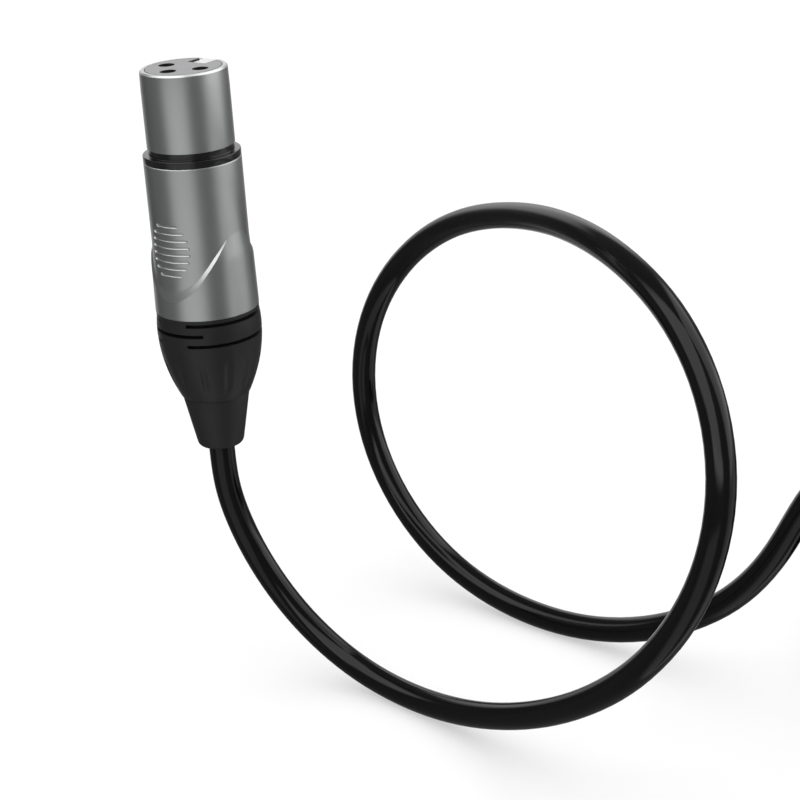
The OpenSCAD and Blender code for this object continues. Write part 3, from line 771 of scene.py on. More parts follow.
class Bench:
    """The moves of the modeller: starts, edits and closes one mesh at a time."""

    @staticmethod
    def clear() -> None:
        """Deselects everything, so that an operator acts on the new piece alone."""
        if bpy.context.mode != "OBJECT":
            bpy.ops.object.mode_set(mode="OBJECT")
        bpy.ops.object.select_all(action="DESELECT")

    @staticmethod
    def pick(piece: Piece) -> None:
        """Makes a piece the only one that the operators act on.

        Args:
            piece: The piece.
        """
        Bench.clear()
        bpy.context.view_layer.objects.active = piece
        piece.select_set(True)

    @staticmethod
    def edit(piece: Piece, by: Elements = Elements.POINTS) -> bmesh.types.BMesh:
        """Opens a piece for editing, with all of it selected.

        Args:
            piece: The piece.
            by: What it is edited by.

        Returns:
            The mesh that the operators work on.
        """
        Bench.pick(piece)
        bpy.ops.object.mode_set(mode="EDIT")
        bpy.ops.mesh.select_mode(type=by.value)
        bpy.ops.mesh.select_all(action="SELECT")
        return bmesh.from_edit_mesh(piece.data)

    @staticmethod
    def mend(piece: Piece, gap: float = 1e-7) -> None:
        """Merges doubles and points the faces outwards.

        Args:
            piece: The piece.
            gap: Points closer than this are one.
        """
        Bench.edit(piece)
        bpy.ops.mesh.remove_doubles(threshold=gap)
        bpy.ops.mesh.normals_make_consistent(inside=False)
        bpy.ops.object.mode_set(mode="OBJECT")

    @staticmethod
    def apply(piece: Piece) -> None:
        """Applies all of a piece's modifiers in order.

        Args:
            piece: The piece.
        """
        Bench.pick(piece)
        for modifier in list(piece.modifiers):
            bpy.ops.object.modifier_apply(modifier=modifier.name)

    @staticmethod
    def smooth(piece: Piece, degrees: float) -> None:
        """Shades a piece smooth, with sharp edges above an angle.

        Args:
            piece: The piece.
            degrees: Edges sharper than this stay sharp.
        """
        Bench.pick(piece)
        bpy.ops.object.shade_smooth_by_angle(angle=math.radians(degrees))

    @staticmethod
    def settle(piece: Piece, matrix: Matrix) -> None:
        """Puts a piece's place into its mesh and leaves its object at the origin.

        Args:
            piece: The piece.
            matrix: Where its own frame lies in the part's frame.
        """
        piece.data.transform(matrix @ piece.matrix_basis)
        piece.matrix_basis = Matrix.Identity(4)

    @staticmethod
    def turn(name: str, outline: Sequence[Point2], segments: int) -> Piece:
        """Turns a closed outline about the plug's axis, ring by ring.

        Args:
            name: The new piece's name.
            outline: Corners as (radius, height), in millimetres, without repeating the first.
            segments: Points round each ring.

        Returns:
            The turned solid, still in the plug's frame.
        """
        Bench.clear()
        r, z = outline[0]
        bpy.ops.mesh.primitive_circle_add(
            vertices=segments, radius=r * MM, fill_type="NOTHING", location=(0, 0, z * MM)
        )
        piece = bpy.context.object
        piece.name = piece.data.name = name
        Bench.settle(piece, Matrix.Identity(4))
        Bench.edit(piece)
        for next_r, next_z in [*outline[1:], outline[0]]:
            bpy.ops.mesh.extrude_region_move(
                TRANSFORM_OT_translate={"value": (0, 0, (next_z - z) * MM)}
            )
            if abs(next_r - r) > 1e-9:
                scale = next_r / r
                bpy.ops.transform.resize(
                    value=(scale, scale, 1), center_override=(0, 0, next_z * MM)
                )
            r, z = next_r, next_z
        bpy.ops.object.mode_set(mode="OBJECT")
        Bench.mend(piece, gap=2e-6)
        return piece

    @staticmethod
    def block(name: str, low: Point3, high: Point3, edge: float = 0.0) -> Piece:
        """Makes a box between two corners, with its edges bevelled.

        Args:
            name: The new piece's name.
            low: Lowest corner, in millimetres.
            high: Highest corner, in millimetres.
            edge: Width of the bevel, in millimetres.

        Returns:
            The box, in the plug's frame.
        """
        Bench.clear()
        centre = [(a + b) / 2 * MM for a, b in zip(low, high)]
        bpy.ops.mesh.primitive_cube_add(size=1.0, location=centre)
        piece = bpy.context.object
        piece.name = piece.data.name = name
        piece.scale = [(b - a) * MM for a, b in zip(low, high)]
        Bench.settle(piece, Matrix.Identity(4))
        if edge:
            Bench.edit(piece, Elements.EDGES)
            bpy.ops.mesh.bevel(offset=edge * MM, segments=3)
            bpy.ops.object.mode_set(mode="OBJECT")
        return piece

    @staticmethod
    def cut(piece: Piece, cutters: Iterable[Piece]) -> None:
        """Cuts other solids out of a piece and removes them.

        Args:
            piece: The piece that is cut.
            cutters: The solids that cut it.
        """
        for cutter in cutters:
            Bench.pick(piece)
            modifier = piece.modifiers.new("cut", "BOOLEAN")
            modifier.operation = "DIFFERENCE"
            modifier.solver = "EXACT"
            modifier.object = cutter
            bpy.ops.object.modifier_apply(modifier=modifier.name)
            bpy.data.objects.remove(cutter)

    @staticmethod
    def reshape(piece: Piece, move: Callable[[Vector], Vector]) -> None:
        """Moves every point of a piece by one rule.

        Args:
            piece: The piece.
            move: Gives a point's new place, both in millimetres.
        """
        for vertex in piece.data.vertices:
            vertex.co = move(vertex.co / MM) * MM
        piece.data.update()

    @staticmethod
    def join(name: str, pieces: Sequence[Piece]) -> Piece:
        """Joins separate solids into one piece.

        Args:
            name: The joined piece's name.
            pieces: The solids.

        Returns:
            The joined piece.
        """
        Bench.clear()
        for piece in pieces:
            piece.select_set(True)
        bpy.context.view_layer.objects.active = pieces[0]
        if len(pieces) > 1:
            bpy.ops.object.join()
        pieces[0].name = pieces[0].data.name = name
        return pieces[0]


def rounded(outline: Sequence[Point2], radii: Mapping[int, float], steps: int = 4) -> list[Point2]:
    """Rounds chosen corners of an outline.

    Args:
        outline: The corners, in millimetres.
        radii: The radius wanted at each numbered corner.
        steps: Straight bits in each rounding.

    Returns:
        The outline with its corners rounded.
    """
    result: list[Point2] = []
    count = len(outline)
    for index, corner in enumerate(outline):
        radius = radii.get(index, 0.0)
        if radius <= 0:
            result.append(corner)
            continue
        here = Vector(corner)
        back = (Vector(outline[index - 1]) - here).normalized()
        ahead = (Vector(outline[(index + 1) % count]) - here).normalized()
        half = back.angle(ahead) / 2
        reach = radius / math.tan(half)
        start, finish = here + back * reach, here + ahead * reach
        for step in range(steps + 1):
            u = step / steps
            point = start * (1 - u) ** 2 + here * (2 * u * (1 - u)) + finish * u**2
            result.append((point.x, point.y))
    return result


def ease(u: float) -> float:
    """Eases from 0 to 1 along half a cosine."""
    return (1 - math.cos(math.pi * min(max(u, 0.0), 1.0))) / 2


# ------------------------------------------------------------------ plugs


@dataclass
class PlugPiece:
    """A modelled piece of a plug, which stands for one of its CAD nodes."""

    plug: Plug
    palette: Palette

    def hand_over(self, piece: Piece, node: str, finish: str, slot: str) -> None:
        """Places and dresses a piece, hangs it on the cable's body and hides its CAD node.

        Args:
            piece: The finished piece, in the plug's frame.
            node: The node that it stands for, without the plug's word.
            finish: The finish that it gets here.
            slot: A slot name for that finish; not used.
        """
        Bench.settle(piece, placed(self.plug))
        self.palette.dress(piece, finish)
        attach(piece, "cable")
        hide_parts(f"{self.plug.value}_{node}")
        LOG.info("%s: %d faces", piece.name, len(piece.data.polygons))


@dataclass
class Shell(PlugPiece):
    """The die-cast shell: nose or barrel, and a grip with two scoops and thumb grooves.

    A scoop's outer edge is given by its height at a distance round the shell, its arc, from
    the scoop's middle: it climbs from foot_z by foot_rise, runs straight to the tip, and meets
    the top of the grip, peak_z, a shoulder further on. A sloping facet lies above that edge.
    """

    nose_r: float = 9.4
    lead_in_r: float = 9.32
    lead_in_len: float = 4.4
    front_edge: float = 0.35
    bore_r: float = 8.25
    bore_overlap: float = 1.0
    barrel_r: float = 9.55
    barrel_len: float = 15.2
    neck_r: float = 8.9
    body_r: float = 10.5
    grip_r: float = 11.05
    seam_r: float = 11.3
    cavity_r: float = 9.2
    cavity_z: float = -24.0
    step_edge: float = 0.3
    seam_edge: float = 0.15
    foot_z: float = -48.85
    foot_rise: float = 3.85
    foot_half: float = 6.6
    foot_curve: float = 1.8
    tip: Point2 = (13.45, -35.95)
    shoulder: float = 0.9
    peak_z: float = -34.9
    ramp: float = 4.6
    tip_drop: float = 0.5
    tip_turn: Point2 = (74.0, 84.0)
    floor_top: float = -37.0
    floor_rise: float = 0.42
    facet: tuple[Point2, ...] = (
        (0.0, 2.6),
        (3.3, 1.9),
        (6.6, 1.4),
        (9.0, 1.0),
        (10.3, 0.9),
        (12.0, 0.5),
        (13.4, 0.1),
    )
    facet_share: float = 0.9
    facet_rings: tuple[int, int] = (44, 54)
    groove_count: int = 8
    groove_pitch: float = 1.54
    groove_from: float = 12.7
    groove_depth: float = 0.35
    groove_width: float = 0.75
    groove_field: Point2 = (5.4, 6.5)
    groove_end: float = 0.35
    groove_tips: Point2 = (0.1, 0.2)
    groove_sides: int = 20
    groove_slices: int = 28
    pocket: tuple[Point3, Point3] = ((8.6, -2.64, -15.0), (10.2, 2.64, -10.9))
    hook_slot: tuple[Point3, Point3] = ((7.0, -2.42, -4.12), (12.0, 2.42, 2.0))
    tab_window: tuple[Point3, Point3] = ((7.0, -3.42, -30.82), (13.0, 3.42, -20.38))
    around: int = 288
    fine_rings: int = 78
    rings_before: float = 0.3
    rings_past: float = 0.6
    plain_rings: int = 6
    skin: float = 0.2

    def front(self) -> list[Point2]:
        """Draws the outline from the front bore round to the shell behind the ring.

        Returns:
            The corners, with their small roundings.
        """
        if self.plug is Plug.SOCKET_END:
            corners = [
                (self.bore_r, AT.body + self.bore_overlap),
                (self.bore_r, 0.0),
                (self.lead_in_r - self.front_edge, 0.0),
                (self.lead_in_r, -self.front_edge),
                (self.nose_r, -self.lead_in_len),
                (self.nose_r, AT.nose),
                (self.neck_r, AT.nose),
            ]
            return rounded(corners, {1: 0.12, 2: 0.1, 3: 0.1, 5: 0.08})
        ring = AT.body + RING_H
        corners = [
            (self.bore_r, AT.body + self.bore_overlap),
            (self.bore_r, -self.barrel_len),
            (self.barrel_r, -self.barrel_len),
            (self.barrel_r, 0.0),
            (self.body_r - self.front_edge, 0.0),
            (self.body_r, -self.front_edge),
            (self.body_r, ring),
            (self.neck_r, ring),
        ]
        return rounded(corners, {3: 0.15, 4: 0.1, 5: 0.1, 6: 0.1})

    def outline(self) -> list[Point2]:
        """Draws the whole closed outline, with close rings where the scoops are pressed.

        Returns:
            The corners, as (radius, height).
        """
        top = rounded(
            [
                (self.neck_r, AT.body),
                (self.body_r - self.step_edge, AT.body),
                (self.body_r, AT.body - self.step_edge),
                (self.body_r, self.peak_z + self.rings_before),
            ],
            {1: 0.12, 2: 0.12},
        )
        fine = [(self.body_r, self.ring_z(i)) for i in range(self.fine_rings + 1)]
        last = fine[-1][1]
        pitch = AT.seam + self.seam_edge - last
        count = self.plain_rings
        plain = [(self.body_r, last + pitch * i / count) for i in range(1, count + 1)]
        return [
            *self.front(),
            *top,
            *fine,
            *plain,
            (self.body_r - self.seam_edge, AT.seam),
            (self.cavity_r, AT.seam),
            (self.cavity_r, self.cavity_z),
            (self.bore_r, self.cavity_z),
        ]

    def ring_z(self, index: float) -> float:
        """Gives the height of one of the close rings on the plain turned shell."""
        last = self.foot_z - self.rings_past
        return self.peak_z + (last - self.peak_z) * index / self.fine_rings

    def full_r(self, z: float, aside: float) -> float:
        """Gives the shell's outer radius away from the scoops.

        Args:
            z: The height.
            aside: The angle from the middle of the nearer scoop, in degrees.

        Returns:
            The radius, which starts to grow lower down beside a scoop's tip.
        """
        before, past = self.tip_turn
        start = self.peak_z - self.tip_drop * (1 - ease((aside - before) / (past - before)))
        share = min(max((start - z) / self.ramp, 0.0), 1.0)
        slope = (self.seam_r - self.grip_r) / (AT.grip_full - AT.seam)
        raised = self.grip_r + slope * max(0.0, AT.grip_full - z)
        return self.body_r + (raised - self.body_r) * share

    def floor_r(self, z: float) -> float:
        """Gives the radius of a scoop's floor, which comes out a little towards its foot."""
        share = (self.floor_top - z) / (self.floor_top - self.foot_z)
        return self.body_r + self.floor_rise * min(max(share, 0.0), 1.0)

    def facet_height(self, arc: float) -> float:
        """Gives how far a scoop's sloping facet reaches up.

        Args:
            arc: The distance round the shell from the scoop's middle.

        Returns:
            The facet's height there.
        """
        for (near, low), (far, high) in zip(self.facet, self.facet[1:]):
            if arc <= far:
                return low + (high - low) * (arc - near) / (far - near)
        return self.facet[-1][1]

    def scoop_edge(self, arc: float) -> float:
        """Gives the height of a scoop's outer edge.

        Args:
            arc: The distance round the shell from the scoop's middle.

        Returns:
            The edge's height there.
        """
        if arc <= self.foot_half:
            return self.foot_z + self.foot_rise * (arc / self.foot_half) ** self.foot_curve
        tip_arc, tip_z = self.tip
        if arc <= tip_arc:
            start = self.foot_z + self.foot_rise
            share = (arc - self.foot_half) / (tip_arc - self.foot_half)
            return start + (tip_z - start) * share
        share = min((arc - tip_arc) / self.shoulder, 1.0)
        return tip_z + (self.peak_z - tip_z) * share

    def pressed(self, point: Vector) -> Vector:
        """Swells the grip and leaves a scoop out of it at the thumb patch and at the latch.

        The close rings bend along with the scoop, so that two of them follow its edges.

        Args:
            point: A point of the plain turned shell, in millimetres.

        Returns:
            Its place on the finished shell.
        """
        r = math.hypot(point.x, point.y)
        if r < self.body_r - self.skin or point.z > self.peak_z - HAIR:
            return point
        aside = math.asin(min(abs(point.y) / r, 1.0))
        arc = aside * self.body_r
        outer = self.scoop_edge(arc)
        inner = outer + min(self.facet_height(arc), (self.peak_z - outer) * self.facet_share)
        last = self.fine_rings
        plain = (self.peak_z, *(self.ring_z(i) for i in self.facet_rings), self.ring_z(last))
        bent = (self.peak_z, inner, outer, plain[3])
        z, share = point.z, 1.0
        for step in range(3):
            if plain[step] >= point.z >= plain[step + 1]:
                u = (plain[step] - point.z) / (plain[step] - plain[step + 1])
                z = bent[step] + (bent[step + 1] - bent[step]) * u
                share = (0.0, u, 1.0)[step]
                break
        low, high = self.floor_r(z), self.full_r(z, math.degrees(aside))
        scale = (r + low - self.body_r + (high - low) * share) / r
        return Vector((point.x * scale, point.y * scale, z))

    def bar(self, name: str) -> Piece:
        """Models a round bar along Y that is sliced so that it can bend.

        Args:
            name: The bar's name.

        Returns:
            The bar, a metre long and across.
        """
        Bench.clear()
        bpy.ops.mesh.primitive_cylinder_add(
            vertices=self.groove_sides, radius=0.5, depth=1.0, rotation=(math.radians(90), 0, 0)
        )
        bar = bpy.context.object
        bar.name = bar.data.name = name
        Bench.settle(bar, Matrix.Identity(4))
        Bench.edit(bar, Elements.EDGES)
        for step in range(1, self.groove_slices):
            y = -0.5 + step / self.groove_slices
            bpy.ops.mesh.select_all(action="SELECT")
            bpy.ops.mesh.bisect(plane_co=(0, y, 0), plane_no=(0, 1, 0), threshold=1e-5)
        bpy.ops.object.mode_set(mode="OBJECT")
        return bar

    def groove(self, index: int) -> Piece:
        """Models the bar that cuts one thumb groove, bent round the shell.

        Args:
            index: Its place, from the top.

        Returns:
            The bar, in the plug's frame.
        """
        top = AT.body - self.groove_from
        z = top - index * self.groove_pitch
        middle = top - self.groove_pitch * (self.groove_count - 1) / 2
        reach, tall = self.groove_field
        half = reach * math.sqrt(max(0.0, 1 - ((z - middle) / tall) ** 2))
        thin, narrow = self.groove_tips

        def bent(point: Vector) -> Vector:
            """Bends the bar round the shell and narrows its ends.

            Args:
                point: A point of the straight bar.

            Returns:
                Its place on the groove's cutter, in millimetres.
            """
            unit = point * MM
            along = unit.y * 2
            end = max(0.0, (abs(along) - 1) * half / self.groove_end + 1)
            cap = math.sqrt(max(0.0, 1 - end**2))
            angle = math.pi + along * half / self.body_r
            r = self.floor_r(z) + unit.x * 2 * self.groove_depth * max(cap, thin)
            height = z + unit.z * self.groove_width * max(cap, narrow)
            return Vector((r * math.cos(angle), r * math.sin(angle), height))

        bar = self.bar(f"groove_{index}")
        Bench.reshape(bar, bent)
        Bench.mend(bar)
        return bar

    def windows(self) -> list[Piece]:
        """Makes the solids that open the shell for the latch.

        Returns:
            The hook's slot and the push tab's window, or the pocket that a hook falls into.
        """
        if self.plug is Plug.PIN_END:
            return [Bench.block("pocket", *self.pocket, edge=0.1)]
        return [
            Bench.block("hook_slot", *self.hook_slot),
            Bench.block("tab_window", *self.tab_window, edge=0.15),
        ]

    def build(self) -> None:
        """Models the shell and hands it over."""
        shell = Bench.turn(f"{self.plug.value}_shell_body", self.outline(), self.around)
        Bench.reshape(shell, self.pressed)
        grooves = [self.groove(i) for i in range(self.groove_count)]
        Bench.cut(shell, [*self.windows(), Bench.join("thumb_grooves", grooves)])
        Bench.smooth(shell, degrees=26.0)
        finish = "satin_nickel" if self.plug is Plug.SOCKET_END else "satin_nickel_lying"
        self.hand_over(shell, "shell", finish, "satin_nickel")


@dataclass
class ColourRing(PlugPiece):
    """The black ring between the nose and the shell."""

    bore_r: float = 8.925
    lip_r: float = 9.2
    band_r: float = 10.5
    around: int = 128

    def outline(self) -> list[Point2]:
        """Draws the closed outline, which has a lip at the socket end only.

        Returns:
            The corners, with their small roundings.
        """
        foot = [(self.band_r, AT.body), (self.bore_r, AT.body)]
        if self.plug is Plug.PIN_END:
            top = AT.body + RING_H
            return rounded([(self.bore_r, top), (self.band_r, top), *foot], {1: 0.12, 2: 0.12})
        lip = [(self.bore_r, AT.nose), (self.lip_r, AT.nose), (self.lip_r, AT.ledge)]
        return rounded([*lip, (self.band_r, AT.ledge), *foot], {2: 0.12, 3: 0.22, 4: 0.08})

    def build(self) -> None:
        """Models the ring and hands it over."""
        ring = Bench.turn(f"{self.plug.value}_colour_ring", self.outline(), self.around)
        Bench.smooth(ring, degrees=40.0)
        self.hand_over(ring, "ring", "ring_plastic", "ring_plastic")


@dataclass
class BootNut(PlugPiece):
    """The moulded nut behind the shell, with rows of slots and shallow flutes.

    Each row of slots has its number from the seam, the angle where its first slot starts and
    the angle that a slot covers, in degrees. A second slot lies opposite the first.
    """

    front_r: float = 11.2
    full_r: float = 11.45
    end_r: float = 7.6
    bore_r: float = 7.15
    neck_bore_r: float = 4.95
    spigot_r: float = 9.15
    spigot_z: float = -43.55
    bore_end_z: float = -60.0
    edge: float = 0.12
    overlap: float = 0.02
    full_share: float = 0.2
    end_lip: tuple[Point2, ...] = ((0.2, 0.4), (0.1, 0.18), (-0.1, 0.02), (-0.5, 0.0))
    swell_steps: int = 8
    taper_steps: int = 26
    taper_curve: float = 2.1
    slot_rows: tuple[Point3, ...] = ((0, 196.0, 140.0), (1, 129.0, 86.0), (2, 196.0, 140.0))
    slot_from: float = 1.1
    slot_pitch: float = 2.3
    slot_h: float = 0.8
    slot_depth: float = 1.7
    slot_room: float = 1.5
    slot_step: float = 4.0
    flutes: int = 12
    flute_depth: float = 0.3
    flute_curve: int = 3
    flutes_from: float = 8.5
    flutes_to: float = 1.6
    flute_fades: Point2 = (4.0, 3.0)
    around: int = 192
    skin: float = 0.2

    def outline(self) -> list[Point2]:
        """Draws the closed outline of the nut.

        Returns:
            The corners, as (radius, height).
        """
        front_z = AT.seam - self.edge
        full_z = AT.seam - self.full_share * (AT.seam - AT.nut_end)
        inside = [
            (self.bore_r, self.spigot_z),
            (self.spigot_r, self.spigot_z),
            (self.spigot_r, AT.seam + self.overlap),
            (self.front_r - self.edge, AT.seam + self.overlap),
            (self.front_r, front_z),
        ]
        swell = []
        for step in range(1, self.swell_steps + 1):
            u = step / self.swell_steps
            r = self.front_r + (self.full_r - self.front_r) * ease(u)
            swell.append((r, front_z + (full_z - front_z) * u))
        lip = [(self.end_r + out, AT.nut_end + up) for out, up in self.end_lip]
        last_r, last_z = lip[0]
        taper = []
        for step in range(1, self.taper_steps + 1):
            u = step / self.taper_steps
            r = self.full_r + (last_r - self.full_r) * u**self.taper_curve
            taper.append((r, full_z + (last_z - full_z) * u))
        return [
            *inside,
            *swell,
            *taper,
            *lip[1:],
            (self.neck_bore_r, AT.nut_end),
            (self.neck_bore_r, self.bore_end_z),
            (self.bore_r, AT.seam),
        ]

    def fluted(self, point: Vector) -> Vector:
        """Presses the flutes into the rear half of the nut.

        Args:
            point: A point of the plain turned nut, in millimetres.

        Returns:
            Its place on the fluted nut.
        """
        r = math.hypot(point.x, point.y)
        start, stop = AT.seam - self.flutes_from, AT.nut_end + self.flutes_to
        if r < self.end_r - self.skin or point.z > start:
            return point
        front_fade, rear_fade = self.flute_fades
        reach = ease((start - point.z) / front_fade) * ease((point.z - stop) / rear_fade)
        turn = math.atan2(point.y, point.x) * self.flutes
        hollow = max(0.0, math.cos(turn)) ** self.flute_curve
        scale = (r - self.flute_depth * reach * hollow) / r
        return Vector((point.x * scale, point.y * scale, point.z))

    def slot_cutter(self, row: int, start: float, sweep: float) -> Piece:
        """Makes the curved bar that cuts one slot.

        Args:
            row: The slot's row, from the seam.
            start: The angle where it starts, in degrees.
            sweep: The angle that it covers, in degrees.

        Returns:
            The bar, in the plug's frame.
        """
        z = AT.seam - self.slot_from - row * self.slot_pitch
        inner, outer = self.full_r - self.slot_depth, self.full_r + self.slot_room
        Bench.clear()
        bpy.ops.mesh.primitive_plane_add(size=1.0)
        bar = bpy.context.object
        bar.name = bar.data.name = f"slot_{row}_{round(start)}"
        lie = Matrix.Rotation(math.radians(90), 4, "X")
        size = Matrix.Diagonal(((outer - inner) * MM, self.slot_h * MM, 1.0, 1.0))
        Bench.settle(bar, Matrix.Translation(((inner + outer) / 2 * MM, 0, z * MM)) @ lie @ size)
        Bench.settle(bar, Matrix.Rotation(math.radians(start), 4, "Z"))
        Bench.edit(bar, Elements.FACES)
        bpy.ops.mesh.spin(
            steps=round(sweep / self.slot_step),
            angle=-math.radians(sweep),
            center=(0, 0, 0),
            axis=(0, 0, 1),
            dupli=False,
        )
        bpy.ops.object.mode_set(mode="OBJECT")
        Bench.mend(bar)
        edit = Bench.edit(bar, Elements.EDGES)
        if any(edge.is_boundary for edge in edit.edges):
            for edge in edit.edges:
                edge.select = edge.is_boundary
            bmesh.update_edit_mesh(bar.data)
            bpy.ops.mesh.edge_face_add()
        bpy.ops.object.mode_set(mode="OBJECT")
        Bench.mend(bar)
        return bar

    def build(self) -> None:
        """Models the nut and hands it over."""
        nut = Bench.turn(f"{self.plug.value}_nut_body", self.outline(), self.around)
        Bench.reshape(nut, self.fluted)
        cutters = [
            self.slot_cutter(row, start + opposite, sweep)
            for row, start, sweep in self.slot_rows
            for opposite in (0.0, 180.0)
        ]
        Bench.cut(nut, cutters)
        Bench.smooth(nut, degrees=35.0)
        self.hand_over(nut, "boot_nut", "boot_plastic", "boot_plastic")


@dataclass
class BootSleeve(PlugPiece):
    """The tapered rubber end of the boot."""

    start_r: float = 7.35
    end_r: float = 5.0
    end_rounding: float = 1.5
    start_edge: Point2 = (0.15, 0.3)
    bore_r: float = 2.95
    mouth_edge: Point2 = (0.15, 0.25)
    tongue_r: float = 4.9
    tongue_len: float = 8.0
    around: int = 128

    def outline(self) -> list[Point2]:
        """Draws the closed outline, with the tongue that lies inside the nut.

        Returns:
            The corners, with the round shoulder at the cable's end.
        """
        corners = [
            (self.bore_r, AT.nut_end + self.tongue_len),
            (self.tongue_r, AT.nut_end + self.tongue_len),
            (self.tongue_r, AT.nut_end),
            (self.start_r - self.start_edge[0], AT.nut_end),
            (self.start_r, AT.nut_end - self.start_edge[1]),
            (self.end_r, AT.end),
            (self.bore_r + self.mouth_edge[0], AT.end),
            (self.bore_r, AT.end + self.mouth_edge[1]),
        ]
        return rounded(corners, {5: self.end_rounding}, steps=10)

    def build(self) -> None:
        """Models the sleeve and hands it over."""
        sleeve = Bench.turn(f"{self.plug.value}_sleeve_body", self.outline(), self.around)
        Bench.smooth(sleeve, degrees=40.0)
        self.hand_over(sleeve, "boot_sleeve", "boot_rubber", "boot_rubber")


# ------------------------------------------------------------------ cable


@dataclass
class Cable:
    """The whole cable as one cord: the standing lead, the coil and the tail.

    The guides pull the lead's curve, in millimetres. They are chosen one by one and repeat the
    route of the cord's solid, as the coil and the tail do by the same formulas.
    """

    palette: Palette
    guides: tuple[Point3, ...] = (
        (0, 0, -75),
        (0, 0, -85),
        (0, 0, -95),
        (1.2, -2, -104.8),
        (2.8, -6.6, -116),
        (4.4, -15.2, -127.4),
        (4.8, -29, -136),
        (2.8, -46.8, -138.6),
        (-1.4, -66.4, -135.4),
        (-6.2, -85.6, -127.8),
        (-10.6, -103.4, -117),
        (-14, -118.8, -103),
        (-14.4, -130, -85.8),
        (-10.6, -133.2, -67),
        (-3.4, -126.8, -50),
        (5.8, -112.8, -38.4),
        (16.2, -95.2, -33.4),
        (27.2, -77.8, -33),
        (37.8, -60.8, -35.4),
        (47.2, -43.6, -39.6),
        (55.4, -26, -46),
        (60.8, -9, -56.6),
        (62.8, 4.2, -72),
        (62.6, 9.8, -91.2),
        (60.6, 5.6, -110.6),
        (57.4, -7.2, -125.8),
        (53, -25.4, -134.8),
        (49.6, -46, -138.2),
        (47.8, -66.8, -137.2),
        (47.6, -86.2, -131.2),
        (47.4, -103, -120.4),
        (45.8, -115, -105.2),
        (44, -122.8, -88.4),
        (43.2, -135.6, -75.8),
        (43, -152.2, -73.2),
        (43.6, -167.6, -81.4),
        (46.2, -180.2, -93.6),
        (52.4, -189.6, -105.4),
        (62.6, -195.4, -114.8),
        (74, -197, -119.28),
        (84, -197, -119.28),
        (94, -197, -119.28),
    )
    outer_r: float = 40.7
    turn_pitch: float = 6.3
    layers: int = 4
    layer_turns: float = 2.75
    top_z: float = -119.28
    low_z: float = FLOOR_Z + CABLE_D / 2
    tie_lift_low: float = 1.3
    tie_lift_high: float = 1.88
    tie_turn: float = 90.0
    tie_fade: Point2 = (22.0, 67.0)
    step_turn: float = 180.0
    tail_bend_r: float = 26.0
    lead_steps: int = 6
    steps_a_turn: int = 48
    tail_steps: int = 32
    sides: int = 20
    path: list[Vector] = field(default_factory=list)

    def lead(self) -> list[Vector]:
        """Runs the standing lead on one smooth curve that the guides pull.

        Returns:
            Its points, in millimetres.
        """
        guides = [Vector(guide) for guide in self.guides]
        points = []
        for i in range(len(guides) - 3):
            for k in range(self.lead_steps):
                u = k / self.lead_steps
                weights = (
                    (1 - u) ** 3,
                    3 * u**3 - 6 * u**2 + 4,
                    -3 * u**3 + 3 * u**2 + 3 * u + 1,
                    u**3,
                )
                pulled = (w * guides[i + n] for n, w in enumerate(weights))
                points.append(sum(pulled, Vector()) / 6)
        return points

    def coil_point(self, turned: float) -> Vector:
        """Gives a point of the coil, whose layers wind in and out by turns.

        Args:
            turned: How far the coil has turned there, in degrees.

        Returns:
            The point, in millimetres.
        """
        sweep = self.layer_turns * 360
        layer = min(int(turned // sweep), self.layers - 1)
        drawn = self.turn_pitch * (turned - layer * sweep) / 360
        inner_r = self.outer_r - self.layer_turns * self.turn_pitch
        r = self.outer_r - drawn if layer % 2 == 0 else inner_r + drawn
        starts = (k * sweep - self.step_turn / 2 for k in range(1, self.layers))
        down = sum(ease((turned - start) / self.step_turn) for start in starts)
        rise = (self.top_z - self.low_z) / (self.layers - 1)
        share = down / (self.layers - 1)
        lift = self.tie_lift_high + (self.tie_lift_low - self.tie_lift_high) * share
        from_tie = abs((turned - self.tie_turn + 180) % 360 - 180)
        near, far = self.tie_fade
        lift *= 1 - ease((from_tie - near) / (far - near))
        angle = math.radians(turned)
        x = COIL_CENTRE[0] + r * math.sin(angle)
        y = COIL_CENTRE[1] - r * math.cos(angle)
        return Vector((x, y, self.top_z - rise * down + lift))

    def coil(self) -> list[Vector]:
        """Winds the coil, with its straight start and end.

        Returns:
            Its points, in millimetres.
        """
        total = self.layers * self.layer_turns * 360
        count = round(total / 360 * self.steps_a_turn)
        turns = [self.coil_point(total * i / count) for i in range(count + 1)]
        ahead = Vector((CABLE_D, 0, 0))
        return [turns[0] - ahead, turns[0] - ahead / 2, *turns, turns[-1] + ahead]

    def tail(self, start: Vector) -> list[Vector]:
        """Gives the points that bend beside the coil and rise to the boot of the pin end.

        Args:
            start: The end of the coil, where the cable heads along +X.

        Returns:
            The tail's points.
        """
        face = pin_end_face() / MM
        boot = Vector((face.x, face.y + AT.end, face.z))
        straight = boot.x - self.tail_bend_r - start.x - CABLE_D
        whole = straight + math.pi / 2 * self.tail_bend_r
        points = [start + Vector((CABLE_D / 2, 0, 0))]
        for i in range(self.tail_steps + 1):
            run = whole * i / self.tail_steps
            bend = max(0.0, run - straight) / self.tail_bend_r
            ahead = CABLE_D + min(run, straight) + self.tail_bend_r * math.sin(bend)
            aside = self.tail_bend_r * (1 - math.cos(bend))
            up = ease(run / whole) * (boot.z - start.z)
            points.append(start + Vector((ahead, aside, up)))
        return [*points, boot]

